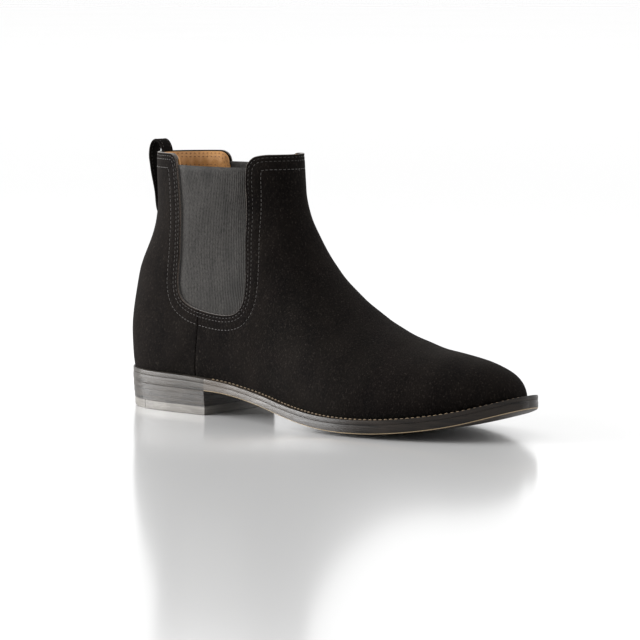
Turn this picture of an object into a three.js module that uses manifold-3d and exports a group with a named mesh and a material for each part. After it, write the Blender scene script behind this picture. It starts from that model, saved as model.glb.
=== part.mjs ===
// Chelsea boot for the right foot: a welted leather sole with a stacked heel, and a suede ankle-height
// upper with an elastic gore on each side. Millimetres, +Z up, toe along +X, inner side of the foot along +Y.
// The design is drawn in the last's frame: x runs from the back of the sole, y from the heel's centre line,
// z from the floor. The finished group is moved so that its origin is the centre of its footprint.
import * as THREE from 'three';
import { mergeVertices } from 'three/addons/utils/BufferGeometryUtils.js';
import Module from 'manifold-3d';

// ---------------------------------------------------------------- driving sizes
const SOLE_LENGTH = 298; // back of the heel to the toe, along the floor
const BALL_WIDTH = 104; // widest part of the sole
const BOOT_HEIGHT = 162.5; // floor to the top edge at the front of the shaft
const SHAFT_WIDTH = 56; // across the mouth
const HEEL_LENGTH = 79; // back of the heel to its breast
const HEEL_BEVEL_RISE = 2.7; // the back of the heel lifts off the floor
const HEEL_BEVEL_LENGTH = 15;
const RUBBER_LENGTH = 27; // rear rubber of the top piece

const SUEDE = 1.5; // suede of the upper
const MIDDLE = 1.0; // elastic, interlining, toe puff and heel counter
const LINING = 1.0; // calf lining
const CLEARANCE = 0.3; // between pieces that lie on each other
const SEAM = 0.3; // slit between two pieces sewn edge to edge

const WELT_THICKNESS = 2.7;
const WELT_WIDTH = 11;
const RIB_WIDTH = 2; // rib that the welt is sewn to
const INSOLE_THICKNESS = 2.3;
const SOCK_THICKNESS = 0.9;
const SHANK_LENGTH = 105;
const SHANK_WIDTH = 14;
const SHANK_THICKNESS = 1.2;
const SHANK_START = 44;
const TOP_PIECE = 5.4; // wearing layer of the heel
const LIFT = 3.1; // one leather lift of the heel; the uppermost takes what is left
const HEEL_TAPER = 1.2; // how far the foot of the heel is drawn in

const GORE_TOP = 154; // top edge of the elastic
const GORE_TUCK = 7; // elastic hidden under the suede, all round the window
const PUFF_BACK = 240; // rear edge of the toe puff
const COUNTER_FRONT = 64; // front edge of the heel counter

const TAB_WIDTH = 10;
const TAB_THICKNESS = 1.7;
const TAB_INSERT = 16; // depth of the tab's end between suede and lining
const NAIL_RADIUS = 0.9;
const NAIL_LENGTH = 7.6;
const NAIL_INSET = 7; // from the edge of the heel

const BEND_X = 138; // where the shaft's front leaf bends away from the instep
const BEND_Z = 111;

// ---------------------------------------------------------------- the last
// Scales of the tables below, each 1 at the sizes above.
const LENGTH_SCALE = SOLE_LENGTH / 298;
const WIDTH_SCALE = BALL_WIDTH / 104;
const MOUTH_SCALE = SHAFT_WIDTH / 56;
const ANKLE = 60; // heights above the ankle stretch with the boot's height
const HEIGHT_SCALE = (BOOT_HEIGHT - ANKLE) / (162.5 - ANKLE);

// Sections from the toe to the mouth, fanning round the instep. Each runs from a point on the bottom or
// the back to one on the front ridge: x and z of the front, x and z of the back, y of the front and of the
// back, half-widths on the outer and inner side, fullness, roundness.
const SECTIONS = [
  [291, 24, 292, 8, 8, 8, 3, 3, 0.8, 2.0],
  [287.5, 34.5, 281, 6, 8, 8, 18, 18, 0.8, 2.1],
  [275, 42, 264, 2, 8, 8, 28, 27, 0.8, 2.2],
  [254.5, 46.5, 246, -2, 7, 6, 37, 35, 0.8, 2.3],
  [224.5, 51, 222, -6, 6, 3, 44, 42, 0.8, 2.3],
  [194, 60, 193, -8, 5, 1, 47, 46, 0.82, 2.2],
  [170, 73.5, 160, -6, 4, 0, 43, 43, 0.85, 2.2],
  [151.5, 91, 120, 0, 3, 0, 37, 37, 0.85, 2.2],
  [140, 107.5, 84, 6, 2, 0, 35, 35, 0.82, 2.2],
  [134, 121, 48, 6, 1, 0, 34, 34, 0.76, 2.3],
  [131.5, 131, 12, 8, 0, 0, 33.5, 33.5, 0.7, 2.4],
  [130, 139, 0.5, 40, 0, 0, 31.5, 31.5, 0.72, 2.3],
  [129.5, 146, 3.5, 80, 0, 0, 29.5, 29.5, 0.8, 2.2],
  [128, 153.5, 16, 116, 0, 0, 28.5, 28.5, 0.92, 2.2],
  [127, 162.5, 15.5, 160.5, 0, 0, 28, 28, 1.0, 2.2],
];
const LAST_SECTION = SECTIONS.length - 1;
// Heights of the sole's top edge along x, and the thickness of the sole's edge below it.
const SOLE_TOP = [[-5, 25], [30, 24.2], [68, 23.4], [95, 21.5], [125, 17.5], [160, 12.6], [195, 10.4],
  [235, 12.2], [270, 18], [300, 27.5]];
const SOLE_EDGE = [[-5, 8], [66, 8], [95, 6.8], [125, 6.8], [195, 8], [300, 8]];
// How far the middle of the tread hangs below its edges.
const TREAD_CROWN = [[-5, 0], [79, 0], [110, 0.3], [140, 1.5], [170, 2.3], [195, 2.37], [235, 2], [270, 1.2], [300, 0.4]];
// The sole's outline seen from below: x and y, from the back round the outer side to the toe and home.
const OUTLINE = [[0, 0], [3, -14], [11, -24.5], [24, -31.5], [42, -34.2], [62, -34.2], [82, -33.8], [102, -34],
  [124, -36.4], [150, -42.6], [178, -48.6], [203, -49.8], [228, -46], [252, -37.5], [272, -26.5], [286, -14.5],
  [294.5, -3], [298, 8], [295.5, 20], [287, 31.5], [272, 41], [252, 48.4], [228, 52.6], [203, 53.8], [178, 51.4],
  [150, 44], [124, 36.4], [102, 33.4], [82, 33.4], [62, 34.2], [42, 34.2], [24, 31.5], [11, 24.5], [3, 14]];
// The window over the elastic, seen from the side: from its top back corner down and round to its front.
const WINDOW_BACK_TOP = [[38, 175], [40, 163], [45.5, 161.2], [48.8, 159]];
const WINDOW = [[50.2, 153.5], [52.6, 141], [54.8, 122], [55.8, 102], [55.2, 88], [55.6, 79], [59, 72], [66.5, 67.6],
  [77, 65], [89, 63.6], [99, 63.8], [106, 66.4], [109.6, 72.5], [110, 81], [108.4, 94], [105.6, 112], [104.4, 134],
  [104.6, 152]];
const WINDOW_FRONT_TOP = [[106, 157.4], [109.6, 160.9], [117, 162.4], [126, 164], [130, 175]];
// The side seam below the window, between quarter and vamp.
const SIDE_SEAM = [[67.5, -10], [68.7, 22], [71, 34], [72.6, 44], [73.8, 54], [74.5, 66], [76, 200]];

const scaleX = (x) => x * LENGTH_SCALE;
const scaleZ = (z) => (z < ANKLE ? z : ANKLE + (z - ANKLE) * HEIGHT_SCALE);
const sidePoints = (points) => points.map(([x, z]) => [scaleX(x), scaleZ(z)]);

// Catmull-Rom curve through values at 0, 1, 2 ...; past each end it runs on straight.
function along(values, t) {
  const last = values.length - 1;
  const i = Math.min(Math.floor(Math.max(t, 0)), last - 1);
  const f = t - i;
  const b = values[i];
  const c = values[i + 1];
  const a = i > 0 ? values[i - 1] : 2 * b - c;
  const d = i + 2 <= last ? values[i + 2] : 2 * c - b;
  return 0.5 * (2 * b + (c - a) * f + (2 * a - 5 * b + 4 * c - d) * f * f + (3 * b - a - 3 * c + d) * f * f * f);
}

// Smooth height read off a table of [x, value] rows.
function profile(table, x) {
  const place = Math.min(Math.max(x / LENGTH_SCALE, table[0][0]), table[table.length - 1][0]);
  let i = 0;
  while (i < table.length - 2 && place > table[i + 1][0]) i += 1;
  const slope = (j) => {
    if (j === 0 || j === table.length - 1) {
      const k = Math.min(j, table.length - 2);
      return (table[k + 1][1] - table[k][1]) / (table[k + 1][0] - table[k][0]);
    }
    const before = table[j][0] - table[j - 1][0];
    const after = table[j + 1][0] - table[j][0];
    return ((table[j][1] - table[j - 1][1]) * after / before + (table[j + 1][1] - table[j][1]) * before / after)
      / (before + after);
  };
  const h = table[i + 1][0] - table[i][0];
  const t = (place - table[i][0]) / h;
  return (2 * t ** 3 - 3 * t ** 2 + 1) * table[i][1] + (t ** 3 - 2 * t ** 2 + t) * h * slope(i)
    + (3 * t ** 2 - 2 * t ** 3) * table[i + 1][1] + (t ** 3 - t ** 2) * h * slope(i + 1);
}
const soleTop = (x) => profile(SOLE_TOP, x);
const soleEdgeBottom = (x) => soleTop(x) - profile(SOLE_EDGE, x);

// A point of the upper's outer surface: t counts sections, angle runs from 0 at the back to pi at the ridge.
function lastPoint(t, angle, side) {
  const v = SECTIONS[0].map((_, column) => along(SECTIONS.map((row) => row[column]), t));
  const c = Math.cos(angle);
  const share = ((1 - c) / 2) ** (1 / v[8]);
  const widen = THREE.MathUtils.lerp(WIDTH_SCALE, MOUTH_SCALE, THREE.MathUtils.smoothstep(t, 7, 12));
  const width = (side < 0 ? v[6] : v[7]) * widen * Math.sqrt(Math.max(1 - Math.abs(c) ** v[9], 0));
  return new THREE.Vector3(
    scaleX(v[2] + (v[0] - v[2]) * share),
    (v[5] + (v[4] - v[5]) * share) * WIDTH_SCALE + side * width,
    scaleZ(v[3] + (v[1] - v[3]) * share),
  );
}

// The same point pushed in by depth, square to the surface.
function innerPoint(t, angle, side, depth) {
  const p = lastPoint(t, angle, side);
  if (depth === 0) return p;
  const step = 0.02;
  const alongT = lastPoint(Math.min(t + step, LAST_SECTION), angle, side)
    .sub(lastPoint(Math.max(t - step, 0), angle, side));
  const turn = THREE.MathUtils.clamp(angle, 0.05, Math.PI - 0.05);
  const alongAngle = lastPoint(t, turn + 0.04, side).sub(lastPoint(t, turn - 0.04, side));
  if (angle < 0.05 || angle > Math.PI - 0.05) alongAngle.set(0, side * (angle < 1 ? 1 : -1), 0);
  const normal = alongT.cross(alongAngle).normalize().multiplyScalar(side);
  const moved = p.clone().addScaledVector(normal, -depth);
  const middle = lastPoint(t, angle < 1.5 ? 0 : Math.PI, side).y;
  if ((moved.y - middle) * side < 0) moved.y = middle;
  return moved;
}

// ---------------------------------------------------------------- solids
const wasm = await Module();
wasm.setup();

// Closed triangle mesh to a solid; corners at one place become one vertex.
function solidOf(geometry) {
  const plain = geometry.clone();
  plain.deleteAttribute('normal');
  plain.deleteAttribute('uv');
  const merged = mergeVertices(plain, 1e-4);
  const index = Array.from(merged.index.array);
  const kept = [];
  for (let i = 0; i < index.length; i += 3) {
    const [a, b, c] = index.slice(i, i + 3);
    if (a !== b && b !== c && a !== c) kept.push(a, b, c);
  }
  return new wasm.Manifold(new wasm.Mesh({
    numProp: 3,
    vertProperties: new Float32Array(merged.attributes.position.array),
    triVerts: new Uint32Array(kept),
  }));
}

function solidFrom(points, triangles) {
  const geometry = new THREE.BufferGeometry();
  geometry.setAttribute('position', new THREE.Float32BufferAttribute(points.flatMap((p) => [p.x, p.y, p.z]), 3));
  geometry.setIndex(triangles.flat());
  return solidOf(geometry);
}

function geometryOf(solid) {
  const mesh = solid.getMesh();
  const positions = [];
  for (let i = 0; i < mesh.vertProperties.length; i += mesh.numProp) {
    positions.push(mesh.vertProperties[i], mesh.vertProperties[i + 1], mesh.vertProperties[i + 2]);
  }
  const geometry = new THREE.BufferGeometry();
  geometry.setAttribute('position', new THREE.Float32BufferAttribute(positions, 3));
  geometry.setIndex(Array.from(mesh.triVerts));
  return geometry;
}

// Rings of the last, denser at the toe and round the heel, counted in sections.
const RINGS = [0, 0.4, 1, 1.7, 2.4, 3.2, 4, 4.9, 5.8, 6.7, 7.6, 8.4, 9.1, 9.6, 10.1, 10.5, 10.9, 11.4, 12, 12.7,
  13.4, 14];
const AROUND = 11; // steps from back to ridge on one side
const OVERRUN = 3; // an inner volume stands out of the mouth, so that it cuts right through

// The volume inside the last's surface at one depth.
function lastVolume(depth, overrun = 0) {
  const points = [];
  const rings = RINGS.map((t) => {
    const ring = [];
    for (let j = 0; j <= AROUND; j += 1) ring.push(innerPoint(t, (Math.PI * j) / AROUND, -1, depth));
    for (let j = AROUND - 1; j > 0; j -= 1) ring.push(innerPoint(t, (Math.PI * j) / AROUND, 1, depth));
    return ring;
  });
  if (overrun) rings.push(rings[rings.length - 1].map((p) => p.clone().setZ(p.z + overrun)));
  rings.forEach((ring) => points.push(...ring));
  const around = 2 * AROUND;
  const triangles = [];
  for (let i = 0; i < rings.length - 1; i += 1) {
    for (let j = 0; j < around; j += 1) {
      const a = i * around + j;
      const b = i * around + ((j + 1) % around);
      triangles.push([a, b, b + around], [a, b + around, a + around]);
    }
  }
  // The two ends are closed by ladders across the ring.
  const cap = (start, flip) => {
    for (let j = 0; j < AROUND; j += 1) {
      const a = start + j;
      const b = start + j + 1;
      const c = start + ((around - j) % around);
      const d = start + around - j - 1;
      const pair = [[a, c, b], [b, c, d]];
      pair.forEach(([p, q, r]) => triangles.push(flip ? [p, r, q] : [p, q, r]));
    }
  };
  cap(0, false);
  cap((rings.length - 1) * around, true);
  const solid = solidFrom(points, triangles);
  return solid.volume() < 0 ? solidFrom(points, triangles.map(([a, b, c]) => [a, c, b])) : solid;
}

// A side view outline pushed across the boot from y = from to y = to.
const REACH = 90;
function sidePrism(outline, from = -REACH, to = REACH) {
  const shape = new THREE.Shape(outline.map(([x, z]) => new THREE.Vector2(x, z)));
  const geometry = new THREE.ExtrudeGeometry(shape, { depth: to - from, bevelEnabled: false });
  geometry.rotateX(Math.PI / 2);
  geometry.translate(0, to, 0);
  return solidOf(geometry);
}

// Outline moved sideways by a distance, to its left when it is walked.
function shifted(points, distance) {
  return points.map(([x, z], i) => {
    const a = points[Math.max(i - 1, 0)];
    const b = points[Math.min(i + 1, points.length - 1)];
    const length = Math.hypot(b[0] - a[0], b[1] - a[1]);
    return [x - ((b[1] - a[1]) / length) * distance, z + ((b[0] - a[0]) / length) * distance];
  });
}

// Stops along x for the sole's layers, denser at the round ends.
const END_STEPS = [0.4, 1.5, 3.5, 7, 12, 19, 28];
const STRIP = 13;
function stops(from, to, roundBack, roundFront) {
  const steps = END_STEPS.filter((s) => s < to - from - 3);
  const back = roundBack ? steps.map((s) => from + s) : [from];
  const front = roundFront ? steps.map((s) => to - s).reverse() : [to];
  const a = back[back.length - 1];
  const b = front[0];
  const count = Math.max(Math.ceil((b - a) / STRIP), 1);
  const between = Array.from({ length: count - 1 }, (_, i) => a + ((b - a) * (i + 1)) / count);
  return [...back, ...between, ...front];
}

// The region between two heights that follow the sole.
function soleBand(low, high) {
  const xs = stops(-30, SOLE_LENGTH + 30, false, false);
  return sidePrism([...xs.map((x) => [x, low(x)]), ...xs.reverse().map((x) => [x, high(x)])]);
}

// The sole's outline drawn in by a distance, as a half-width on either side at any x.
function outline(inset) {
  const count = OUTLINE.length;
  const curve = [];
  for (let i = 0; i < count; i += 1) {
    const rows = [-1, 0, 1, 2].map((k) => OUTLINE[(i + k + count) % count]);
    for (let f = 0; f < 1; f += 0.125) {
      curve.push([scaleX(along(rows.map((r) => r[0]), 1 + f)), WIDTH_SCALE * along(rows.map((r) => r[1]), 1 + f)]);
    }
  }
  const moved = curve.map(([x, y], i) => {
    const a = curve[(i - 1 + curve.length) % curve.length];
    const b = curve[(i + 1) % curve.length];
    const length = Math.hypot(b[0] - a[0], b[1] - a[1]);
    return [x - ((b[1] - a[1]) / length) * inset, y + ((b[0] - a[0]) / length) * inset];
  });
  const xs = moved.map((p) => p[0]);
  const start = xs.indexOf(Math.min(...xs));
  const end = xs.indexOf(Math.max(...xs));
  const outer = moved.slice(start, end + 1);
  const inner = [...moved.slice(end), ...moved.slice(0, start + 1)].reverse();
  const read = (side, x) => {
    const row = side < 0 ? outer : inner;
    for (let i = 0; i < row.length - 1; i += 1) {
      const [x0, y0] = row[i];
      const [x1, y1] = row[i + 1];
      if (x >= x0 && x <= x1 && x1 > x0) return y0 + ((y1 - y0) * (x - x0)) / (x1 - x0);
    }
    return row[x < moved[end][0] / 2 ? 0 : row.length - 1][1];
  };
  return { back: moved[start][0], front: moved[end][0], y: read };
}

// A layer of the sole inside an outline, between two heights along x. The middle of its under side may
// hang lower than its edges.
function layer(plan, bottom, top, { from, to, crown = () => 0 } = {}) {
  const xs = stops(from ?? plan.back, to ?? plan.front, from === undefined, to === undefined);
  const points = [];
  xs.forEach((x) => {
    const [outer, inner] = [plan.y(-1, x), plan.y(1, x)];
    const middle = (outer + inner) / 2;
    points.push(new THREE.Vector3(x, outer, bottom(x)), new THREE.Vector3(x, middle, bottom(x) - crown(x)),
      new THREE.Vector3(x, inner, bottom(x)), new THREE.Vector3(x, inner, top(x)), new THREE.Vector3(x, outer, top(x)));
  });
  const triangles = [];
  for (let i = 0; i < xs.length - 1; i += 1) {
    for (let j = 0; j < 5; j += 1) {
      const a = i * 5 + j;
      const b = i * 5 + ((j + 1) % 5);
      triangles.push([a, a + 5, b], [b, a + 5, b + 5]);
    }
  }
  const end = (xs.length - 1) * 5;
  [[0, 1, 2], [0, 2, 3], [0, 3, 4]].forEach(([a, b, c]) => {
    triangles.push([a, b, c], [end + a, end + c, end + b]);
  });
  const solid = solidFrom(points, triangles);
  return solid.volume() < 0 ? solidFrom(points, triangles.map(([a, b, c]) => [a, c, b])) : solid;
}

// A strap of even thickness along a side view curve.
function strap(path, thickness, width) {
  const fine = [];
  for (let t = 0; t <= path.length - 1.001; t += 0.5) {
    fine.push([along(path.map((p) => p[0]), t), along(path.map((p) => p[1]), t)]);
  }
  fine.push(path[path.length - 1]);
  const half = thickness / 2;
  return sidePrism([...shifted(fine, half), ...shifted(fine, -half).reverse()], -width / 2, width / 2);
}

// ---------------------------------------------------------------- finishes
const finish = (color, roughness, metalness = 0) => new THREE.MeshStandardMaterial({ color, roughness, metalness });
const FINISHES = {
  suede: finish('#2a2522', 0.95),
  elastic: finish('#504f4b', 0.9),
  lining: finish('#b97a3c', 0.7),
  interlining: finish('#cfc4ae', 0.9),
  stiffener: finish('#8a6f52', 0.8),
  soleLeather: finish('#2b211a', 0.45),
  heelLeather: finish('#6e665e', 0.5),
  board: finish('#b58c5c', 0.75),
  cork: finish('#a77b4e', 0.95),
  rubber: finish('#1c1c1c', 0.85),
  steel: finish('#9a9c9e', 0.35, 1),
  brass: finish('#b08d4a', 0.35, 1),
};

const boot = new THREE.Group();
function add(name, solid, material) {
  const mesh = new THREE.Mesh(geometryOf(solid), FINISHES[material]);
  mesh.name = name;
  boot.add(mesh);
}
const half = { lateral: [-REACH, -SEAM / 2], medial: [SEAM / 2, REACH] };
const halfSpace = ([from, to]) => sidePrism([[-60, -20], [400, -20], [400, 260], [-60, 260]], from, to);

// ---------------------------------------------------------------- the upper
const MIDDLE_DEPTH = SUEDE + CLEARANCE;
const LINING_DEPTH = MIDDLE_DEPTH + MIDDLE + CLEARANCE;
const ROOM_DEPTH = LINING_DEPTH + LINING + CLEARANCE;
const aboveSole = soleBand((x) => soleTop(x) + CLEARANCE, () => 260);
const skin = (depth, thickness) => lastVolume(depth).subtract(lastVolume(depth + thickness, OVERRUN))
  .intersect(aboveSole);

const windowEdge = sidePoints(WINDOW);
const windowOutline = [...sidePoints(WINDOW_BACK_TOP), ...windowEdge, ...sidePoints(WINDOW_FRONT_TOP)];
const windowCut = sidePrism(windowOutline);
const goreTop = scaleZ(GORE_TOP);
function goreOutline(tuck) {
  const edge = shifted(windowEdge, -tuck);
  const first = edge[0];
  const last = edge[edge.length - 1];
  return [[first[0], goreTop], ...edge.filter(([, z]) => z < goreTop - 1), [last[0], goreTop]];
}
const seam = sidePoints(SIDE_SEAM);
const behindSeam = (gap) => sidePrism([...shifted(seam, gap), [-60, 200], [-60, -10]]);
const bendX = scaleX(BEND_X);
const bendZ = scaleZ(BEND_Z);
// The shaft's front leaf is what lies above a line from the window's foot to the bend.
function leafRegion(drop) {
  const [footX, footZ] = windowEdge[12];
  const slope = (bendZ - footZ) / (bendX - footX);
  const height = (x) => bendZ + slope * (x - bendX) - drop;
  const start = footX - 2.5;
  return sidePrism([[start, height(start)], [bendX + 40, height(bendX + 40)], [bendX + 40, 260],
    [start - 40, 260], [start - 10, height(start) + 8]]);
}
const leaf = leafRegion(0);
const leafAndSlit = leafRegion(SEAM * 1.6);
const bodies = { lateral: halfSpace(half.lateral), medial: halfSpace(half.medial) };

// Suede, then the same cuts again for the lining.
function panels(sheet, names, material) {
  const open = sheet.subtract(windowCut);
  const front = open.subtract(behindSeam(0));
  add(names.vamp, front.subtract(leafAndSlit), material);
  add(names.leaf, front.intersect(leaf), material);
  const back = open.intersect(behindSeam(SEAM));
  add(`${names.quarter}_lateral`, back.intersect(bodies.lateral), material);
  add(`${names.quarter}_medial`, back.intersect(bodies.medial), material);
}
panels(skin(0, SUEDE), { vamp: 'vamp', leaf: 'shaft_front', quarter: 'quarter' }, 'suede');
panels(skin(LINING_DEPTH, LINING), { vamp: 'vamp_lining', leaf: 'shaft_front_lining', quarter: 'quarter_lining' },
  'lining');

// Between them: elastic, toe puff, heel counter and woven interlining.
const middle = skin(MIDDLE_DEPTH, MIDDLE);
const goreRegion = sidePrism(goreOutline(GORE_TUCK));
const goreRoom = sidePrism([...goreOutline(GORE_TUCK + SEAM).filter(([, z]) => z < goreTop - 1)].concat(
  [[scaleX(120), 260], [scaleX(40), 260]]));
const gores = middle.intersect(goreRegion);
add('gore_lateral', gores.intersect(bodies.lateral), 'elastic');
add('gore_medial', gores.intersect(bodies.medial), 'elastic');
const rest = middle.subtract(goreRoom);
const puffX = scaleX(PUFF_BACK);
const puffRegion = (gap) => sidePrism([[puffX - gap, -20], [400, -20], [400, 120], [puffX - 8 - gap, 120]]);
add('toe_puff', rest.intersect(puffRegion(0)), 'stiffener');
const counterX = scaleX(COUNTER_FRONT);
const counterOutline = [[-60, -20], [counterX, -20], [counterX - 2, 30], [counterX - 12, 52], [counterX - 32, 66],
  [counterX - 64, 72], [-60, 73]];
const counterRegion = (gap) => sidePrism(counterOutline.map(([x, z]) => [x > -60 ? x + gap : x, z > 0 ? z + gap : z]));
add('heel_counter', rest.intersect(counterRegion(0)), 'stiffener');
const cloth = rest.subtract(puffRegion(SEAM)).subtract(counterRegion(SEAM));
const clothFront = cloth.subtract(behindSeam(0));
add('vamp_interlining', clothFront.subtract(leafAndSlit), 'interlining');
add('shaft_front_interlining', clothFront.intersect(leaf), 'interlining');

// ---------------------------------------------------------------- pull tab at the back seam
const tabHalf = TAB_WIDTH / 2;
const backTop = lastPoint(LAST_SECTION, 0, 1);
const tabRoom = (grow) => sidePrism([[backTop.x - 20, backTop.z - TAB_INSERT - grow], [backTop.x + 30,
  backTop.z - TAB_INSERT - grow], [backTop.x + 30, 260], [backTop.x - 20, 260]], -tabHalf - grow, tabHalf + grow);
const clothBack = cloth.intersect(behindSeam(SEAM)).subtract(tabRoom(SEAM));
add('quarter_interlining_lateral', clothBack.intersect(bodies.lateral), 'interlining');
add('quarter_interlining_medial', clothBack.intersect(bodies.medial), 'interlining');
add('pull_tab_inner_leg', middle.intersect(tabRoom(0)), 'suede');

// Places on the tab, measured from the top of the back seam: outward (to the rear) and up.
const tabPoint = ([out, up]) => [backTop.x - out, backTop.z + up];
const tabInnerX = MIDDLE_DEPTH + MIDDLE / 2;
const LEG_PATH = [[4.2, -35.5], [6.2, -25], [7.8, -15], [8.4, -7.6]];
const LOOP_PATH = [[8.6, -4.2], [8.4, 0], [7.2, 4.4], [4.2, 7], [0.8, 6.4], [-1.6, 3.8], [-tabInnerX, 0.75]];
// The foot of the outer leg lies on the back of the boot.
const footHeight = scaleZ(118);
const footX = () => {
  let best = 0;
  for (let t = 11; t <= LAST_SECTION; t += 0.01) {
    if (lastPoint(t, 0, 1).z <= footHeight) best = lastPoint(t, 0, 1).x;
  }
  return best;
};
const legFoot = [footX() - CLEARANCE - TAB_THICKNESS / 2, footHeight];
add('pull_tab_outer_leg', strap([legFoot, ...LEG_PATH.map(tabPoint)], TAB_THICKNESS, TAB_WIDTH)
  .subtract(lastVolume(-CLEARANCE)), 'suede');
add('pull_tab_loop', strap(LOOP_PATH.map(tabPoint), TAB_THICKNESS, TAB_WIDTH), 'suede');

// ---------------------------------------------------------------- the bottom
const room = lastVolume(ROOM_DEPTH, OVERRUN);
const insoleTop = (x) => soleTop(x) + CLEARANCE + INSOLE_THICKNESS;
add('insole', room.intersect(soleBand((x) => soleTop(x) + CLEARANCE, insoleTop)), 'board');
add('sock_lining', room.intersect(soleBand((x) => insoleTop(x) + CLEARANCE,
  (x) => insoleTop(x) + CLEARANCE + SOCK_THICKNESS)), 'lining');

const weltBottom = (x) => soleTop(x) - WELT_THICKNESS;
const ribInset = WELT_WIDTH + CLEARANCE;
const fillerInset = ribInset + RIB_WIDTH + CLEARANCE;
const ring = (outerInset, innerInset) => layer(outline(outerInset), weltBottom, soleTop).subtract(
  layer(outline(innerInset), (x) => weltBottom(x) - 1, (x) => soleTop(x) + 1));
const edgeRing = ring(0, WELT_WIDTH);
const frontOf = (x) => sidePrism([[x, -20], [400, -20], [400, 120], [x, 120]]);
add('welt', edgeRing.intersect(frontOf(HEEL_LENGTH + SEAM)), 'soleLeather');
add('heel_rand', edgeRing.subtract(frontOf(HEEL_LENGTH)), 'heelLeather');
add('gemming_rib', ring(ribInset, ribInset + RIB_WIDTH), 'interlining');

// The shank lies in a groove of the cork, open to the insole.
const shankTop = (x) => soleTop(x) - CLEARANCE;
const shankRegion = (grow, low, high) => sidePrism(
  [...stops(SHANK_START - grow, SHANK_START + SHANK_LENGTH + grow, false, false).map((x) => [x, low(x)]),
    ...stops(SHANK_START - grow, SHANK_START + SHANK_LENGTH + grow, false, false).reverse().map((x) => [x, high(x)])],
  -SHANK_WIDTH / 2 - grow, SHANK_WIDTH / 2 + grow);
const shankBottom = (x) => shankTop(x) - SHANK_THICKNESS;
add('shank', shankRegion(0, shankBottom, shankTop), 'steel');
add('cork_filler', layer(outline(fillerInset), weltBottom, soleTop).subtract(
  shankRegion(CLEARANCE, (x) => shankBottom(x) - CLEARANCE, (x) => soleTop(x) + 2)), 'cork');
const outsoleTop = (x) => weltBottom(x) - CLEARANCE;
add('outsole', layer(outline(0), soleEdgeBottom, outsoleTop, { crown: (x) => profile(TREAD_CROWN, x) }),
  'soleLeather');

// ---------------------------------------------------------------- the heel
const bevel = (x) => HEEL_BEVEL_RISE * Math.max(0, 1 - x / HEEL_BEVEL_LENGTH);
const heelTop = (x) => soleEdgeBottom(x) - CLEARANCE;
const heelInset = (z) => HEEL_TAPER * (1 - z / heelTop(HEEL_LENGTH));
const nailPlaces = [[18, -1], [40, -1], [64, -1], [18, 1], [40, 1], [64, 1]].map(([x, side]) => {
  const plan = outline(heelInset(0) + NAIL_INSET);
  return [Math.max(x, plan.back + 2), plan.y(side, x)];
});
function nail([x, y], radius, low, high) {
  const geometry = new THREE.CylinderGeometry(radius, radius, high - low, 8);
  geometry.rotateX(Math.PI / 2);
  geometry.translate(x, y, (low + high) / 2);
  return solidOf(geometry);
}
const NAIL_SINK = 0.4; // nail heads lie below the tread
const nailHoles = nailPlaces.map((place) => nail(place, NAIL_RADIUS + CLEARANCE, -5, NAIL_LENGTH + NAIL_SINK + CLEARANCE));
const drilled = (solid) => nailHoles.reduce((left, hole) => left.subtract(hole), solid);
const rubberEnd = RUBBER_LENGTH;
const topPlan = outline(heelInset(TOP_PIECE / 2));
add('heel_top_rubber', drilled(layer(topPlan, bevel, () => TOP_PIECE, { to: rubberEnd })), 'rubber');
add('heel_top_piece', drilled(layer(topPlan, () => 0, () => TOP_PIECE, { from: rubberEnd + SEAM, to: HEEL_LENGTH })),
  'heelLeather');
const LIFTS = 3;
for (let i = 0; i < LIFTS; i += 1) {
  const low = TOP_PIECE + CLEARANCE + i * (LIFT + CLEARANCE);
  const high = i === LIFTS - 1 ? heelTop : () => low + LIFT;
  const solid = layer(outline(heelInset(low + LIFT / 2)), () => low, high, { to: HEEL_LENGTH });
  add(`heel_lift_${i + 1}`, i === 0 ? drilled(solid) : solid, 'heelLeather');
}
nailPlaces.forEach((place, i) => {
  const foot = place[0] < HEEL_BEVEL_LENGTH ? bevel(place[0]) + NAIL_SINK : NAIL_SINK;
  add(`heel_nail_${i + 1}`, nail(place, NAIL_RADIUS, foot, NAIL_LENGTH), 'brass');
});

// ---------------------------------------------------------------- origin at the centre of the footprint
const extent = new THREE.Box3().setFromObject(boot);
boot.position.set(-(extent.min.x + extent.max.x) / 2, -(extent.min.y + extent.max.y) / 2, -extent.min.z);
boot.updateMatrixWorld(true);

export default boot;
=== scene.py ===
"""Chelsea boot for the right foot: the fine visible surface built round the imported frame.

The shapes are drawn in millimetres in the last's frame, as a bootmaker measures them: x runs forward from the
back of the sole, y to the inner side of the foot, z up from the floor. to_row() turns them into metres in the
frame's own axes.
"""
import math

import bmesh
import bpy
import numpy as np
from bpy.props import FloatProperty, FloatVectorProperty, PointerProperty
from bpy.types import Operator, Panel, PropertyGroup
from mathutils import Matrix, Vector
from mathutils.geometry import delaunay_2d_cdt


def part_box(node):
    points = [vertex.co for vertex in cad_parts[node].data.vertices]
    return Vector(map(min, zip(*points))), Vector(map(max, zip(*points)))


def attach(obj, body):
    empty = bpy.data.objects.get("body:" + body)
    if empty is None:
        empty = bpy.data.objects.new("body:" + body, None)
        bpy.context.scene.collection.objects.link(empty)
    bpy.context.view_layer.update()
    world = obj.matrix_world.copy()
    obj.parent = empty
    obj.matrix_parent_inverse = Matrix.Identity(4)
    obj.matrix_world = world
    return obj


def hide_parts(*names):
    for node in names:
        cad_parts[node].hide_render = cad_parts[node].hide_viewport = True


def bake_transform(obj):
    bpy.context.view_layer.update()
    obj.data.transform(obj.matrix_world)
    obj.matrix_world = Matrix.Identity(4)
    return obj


bl_info = {
    "name": "Chelsea boot",
    "version": (1, 0, 0),
    "blender": (4, 5, 0),
    "location": "View3D > Sidebar > Boot",
    "description": "Makes a suede chelsea boot, piece by piece",
    "category": "Mesh",
}

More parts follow.
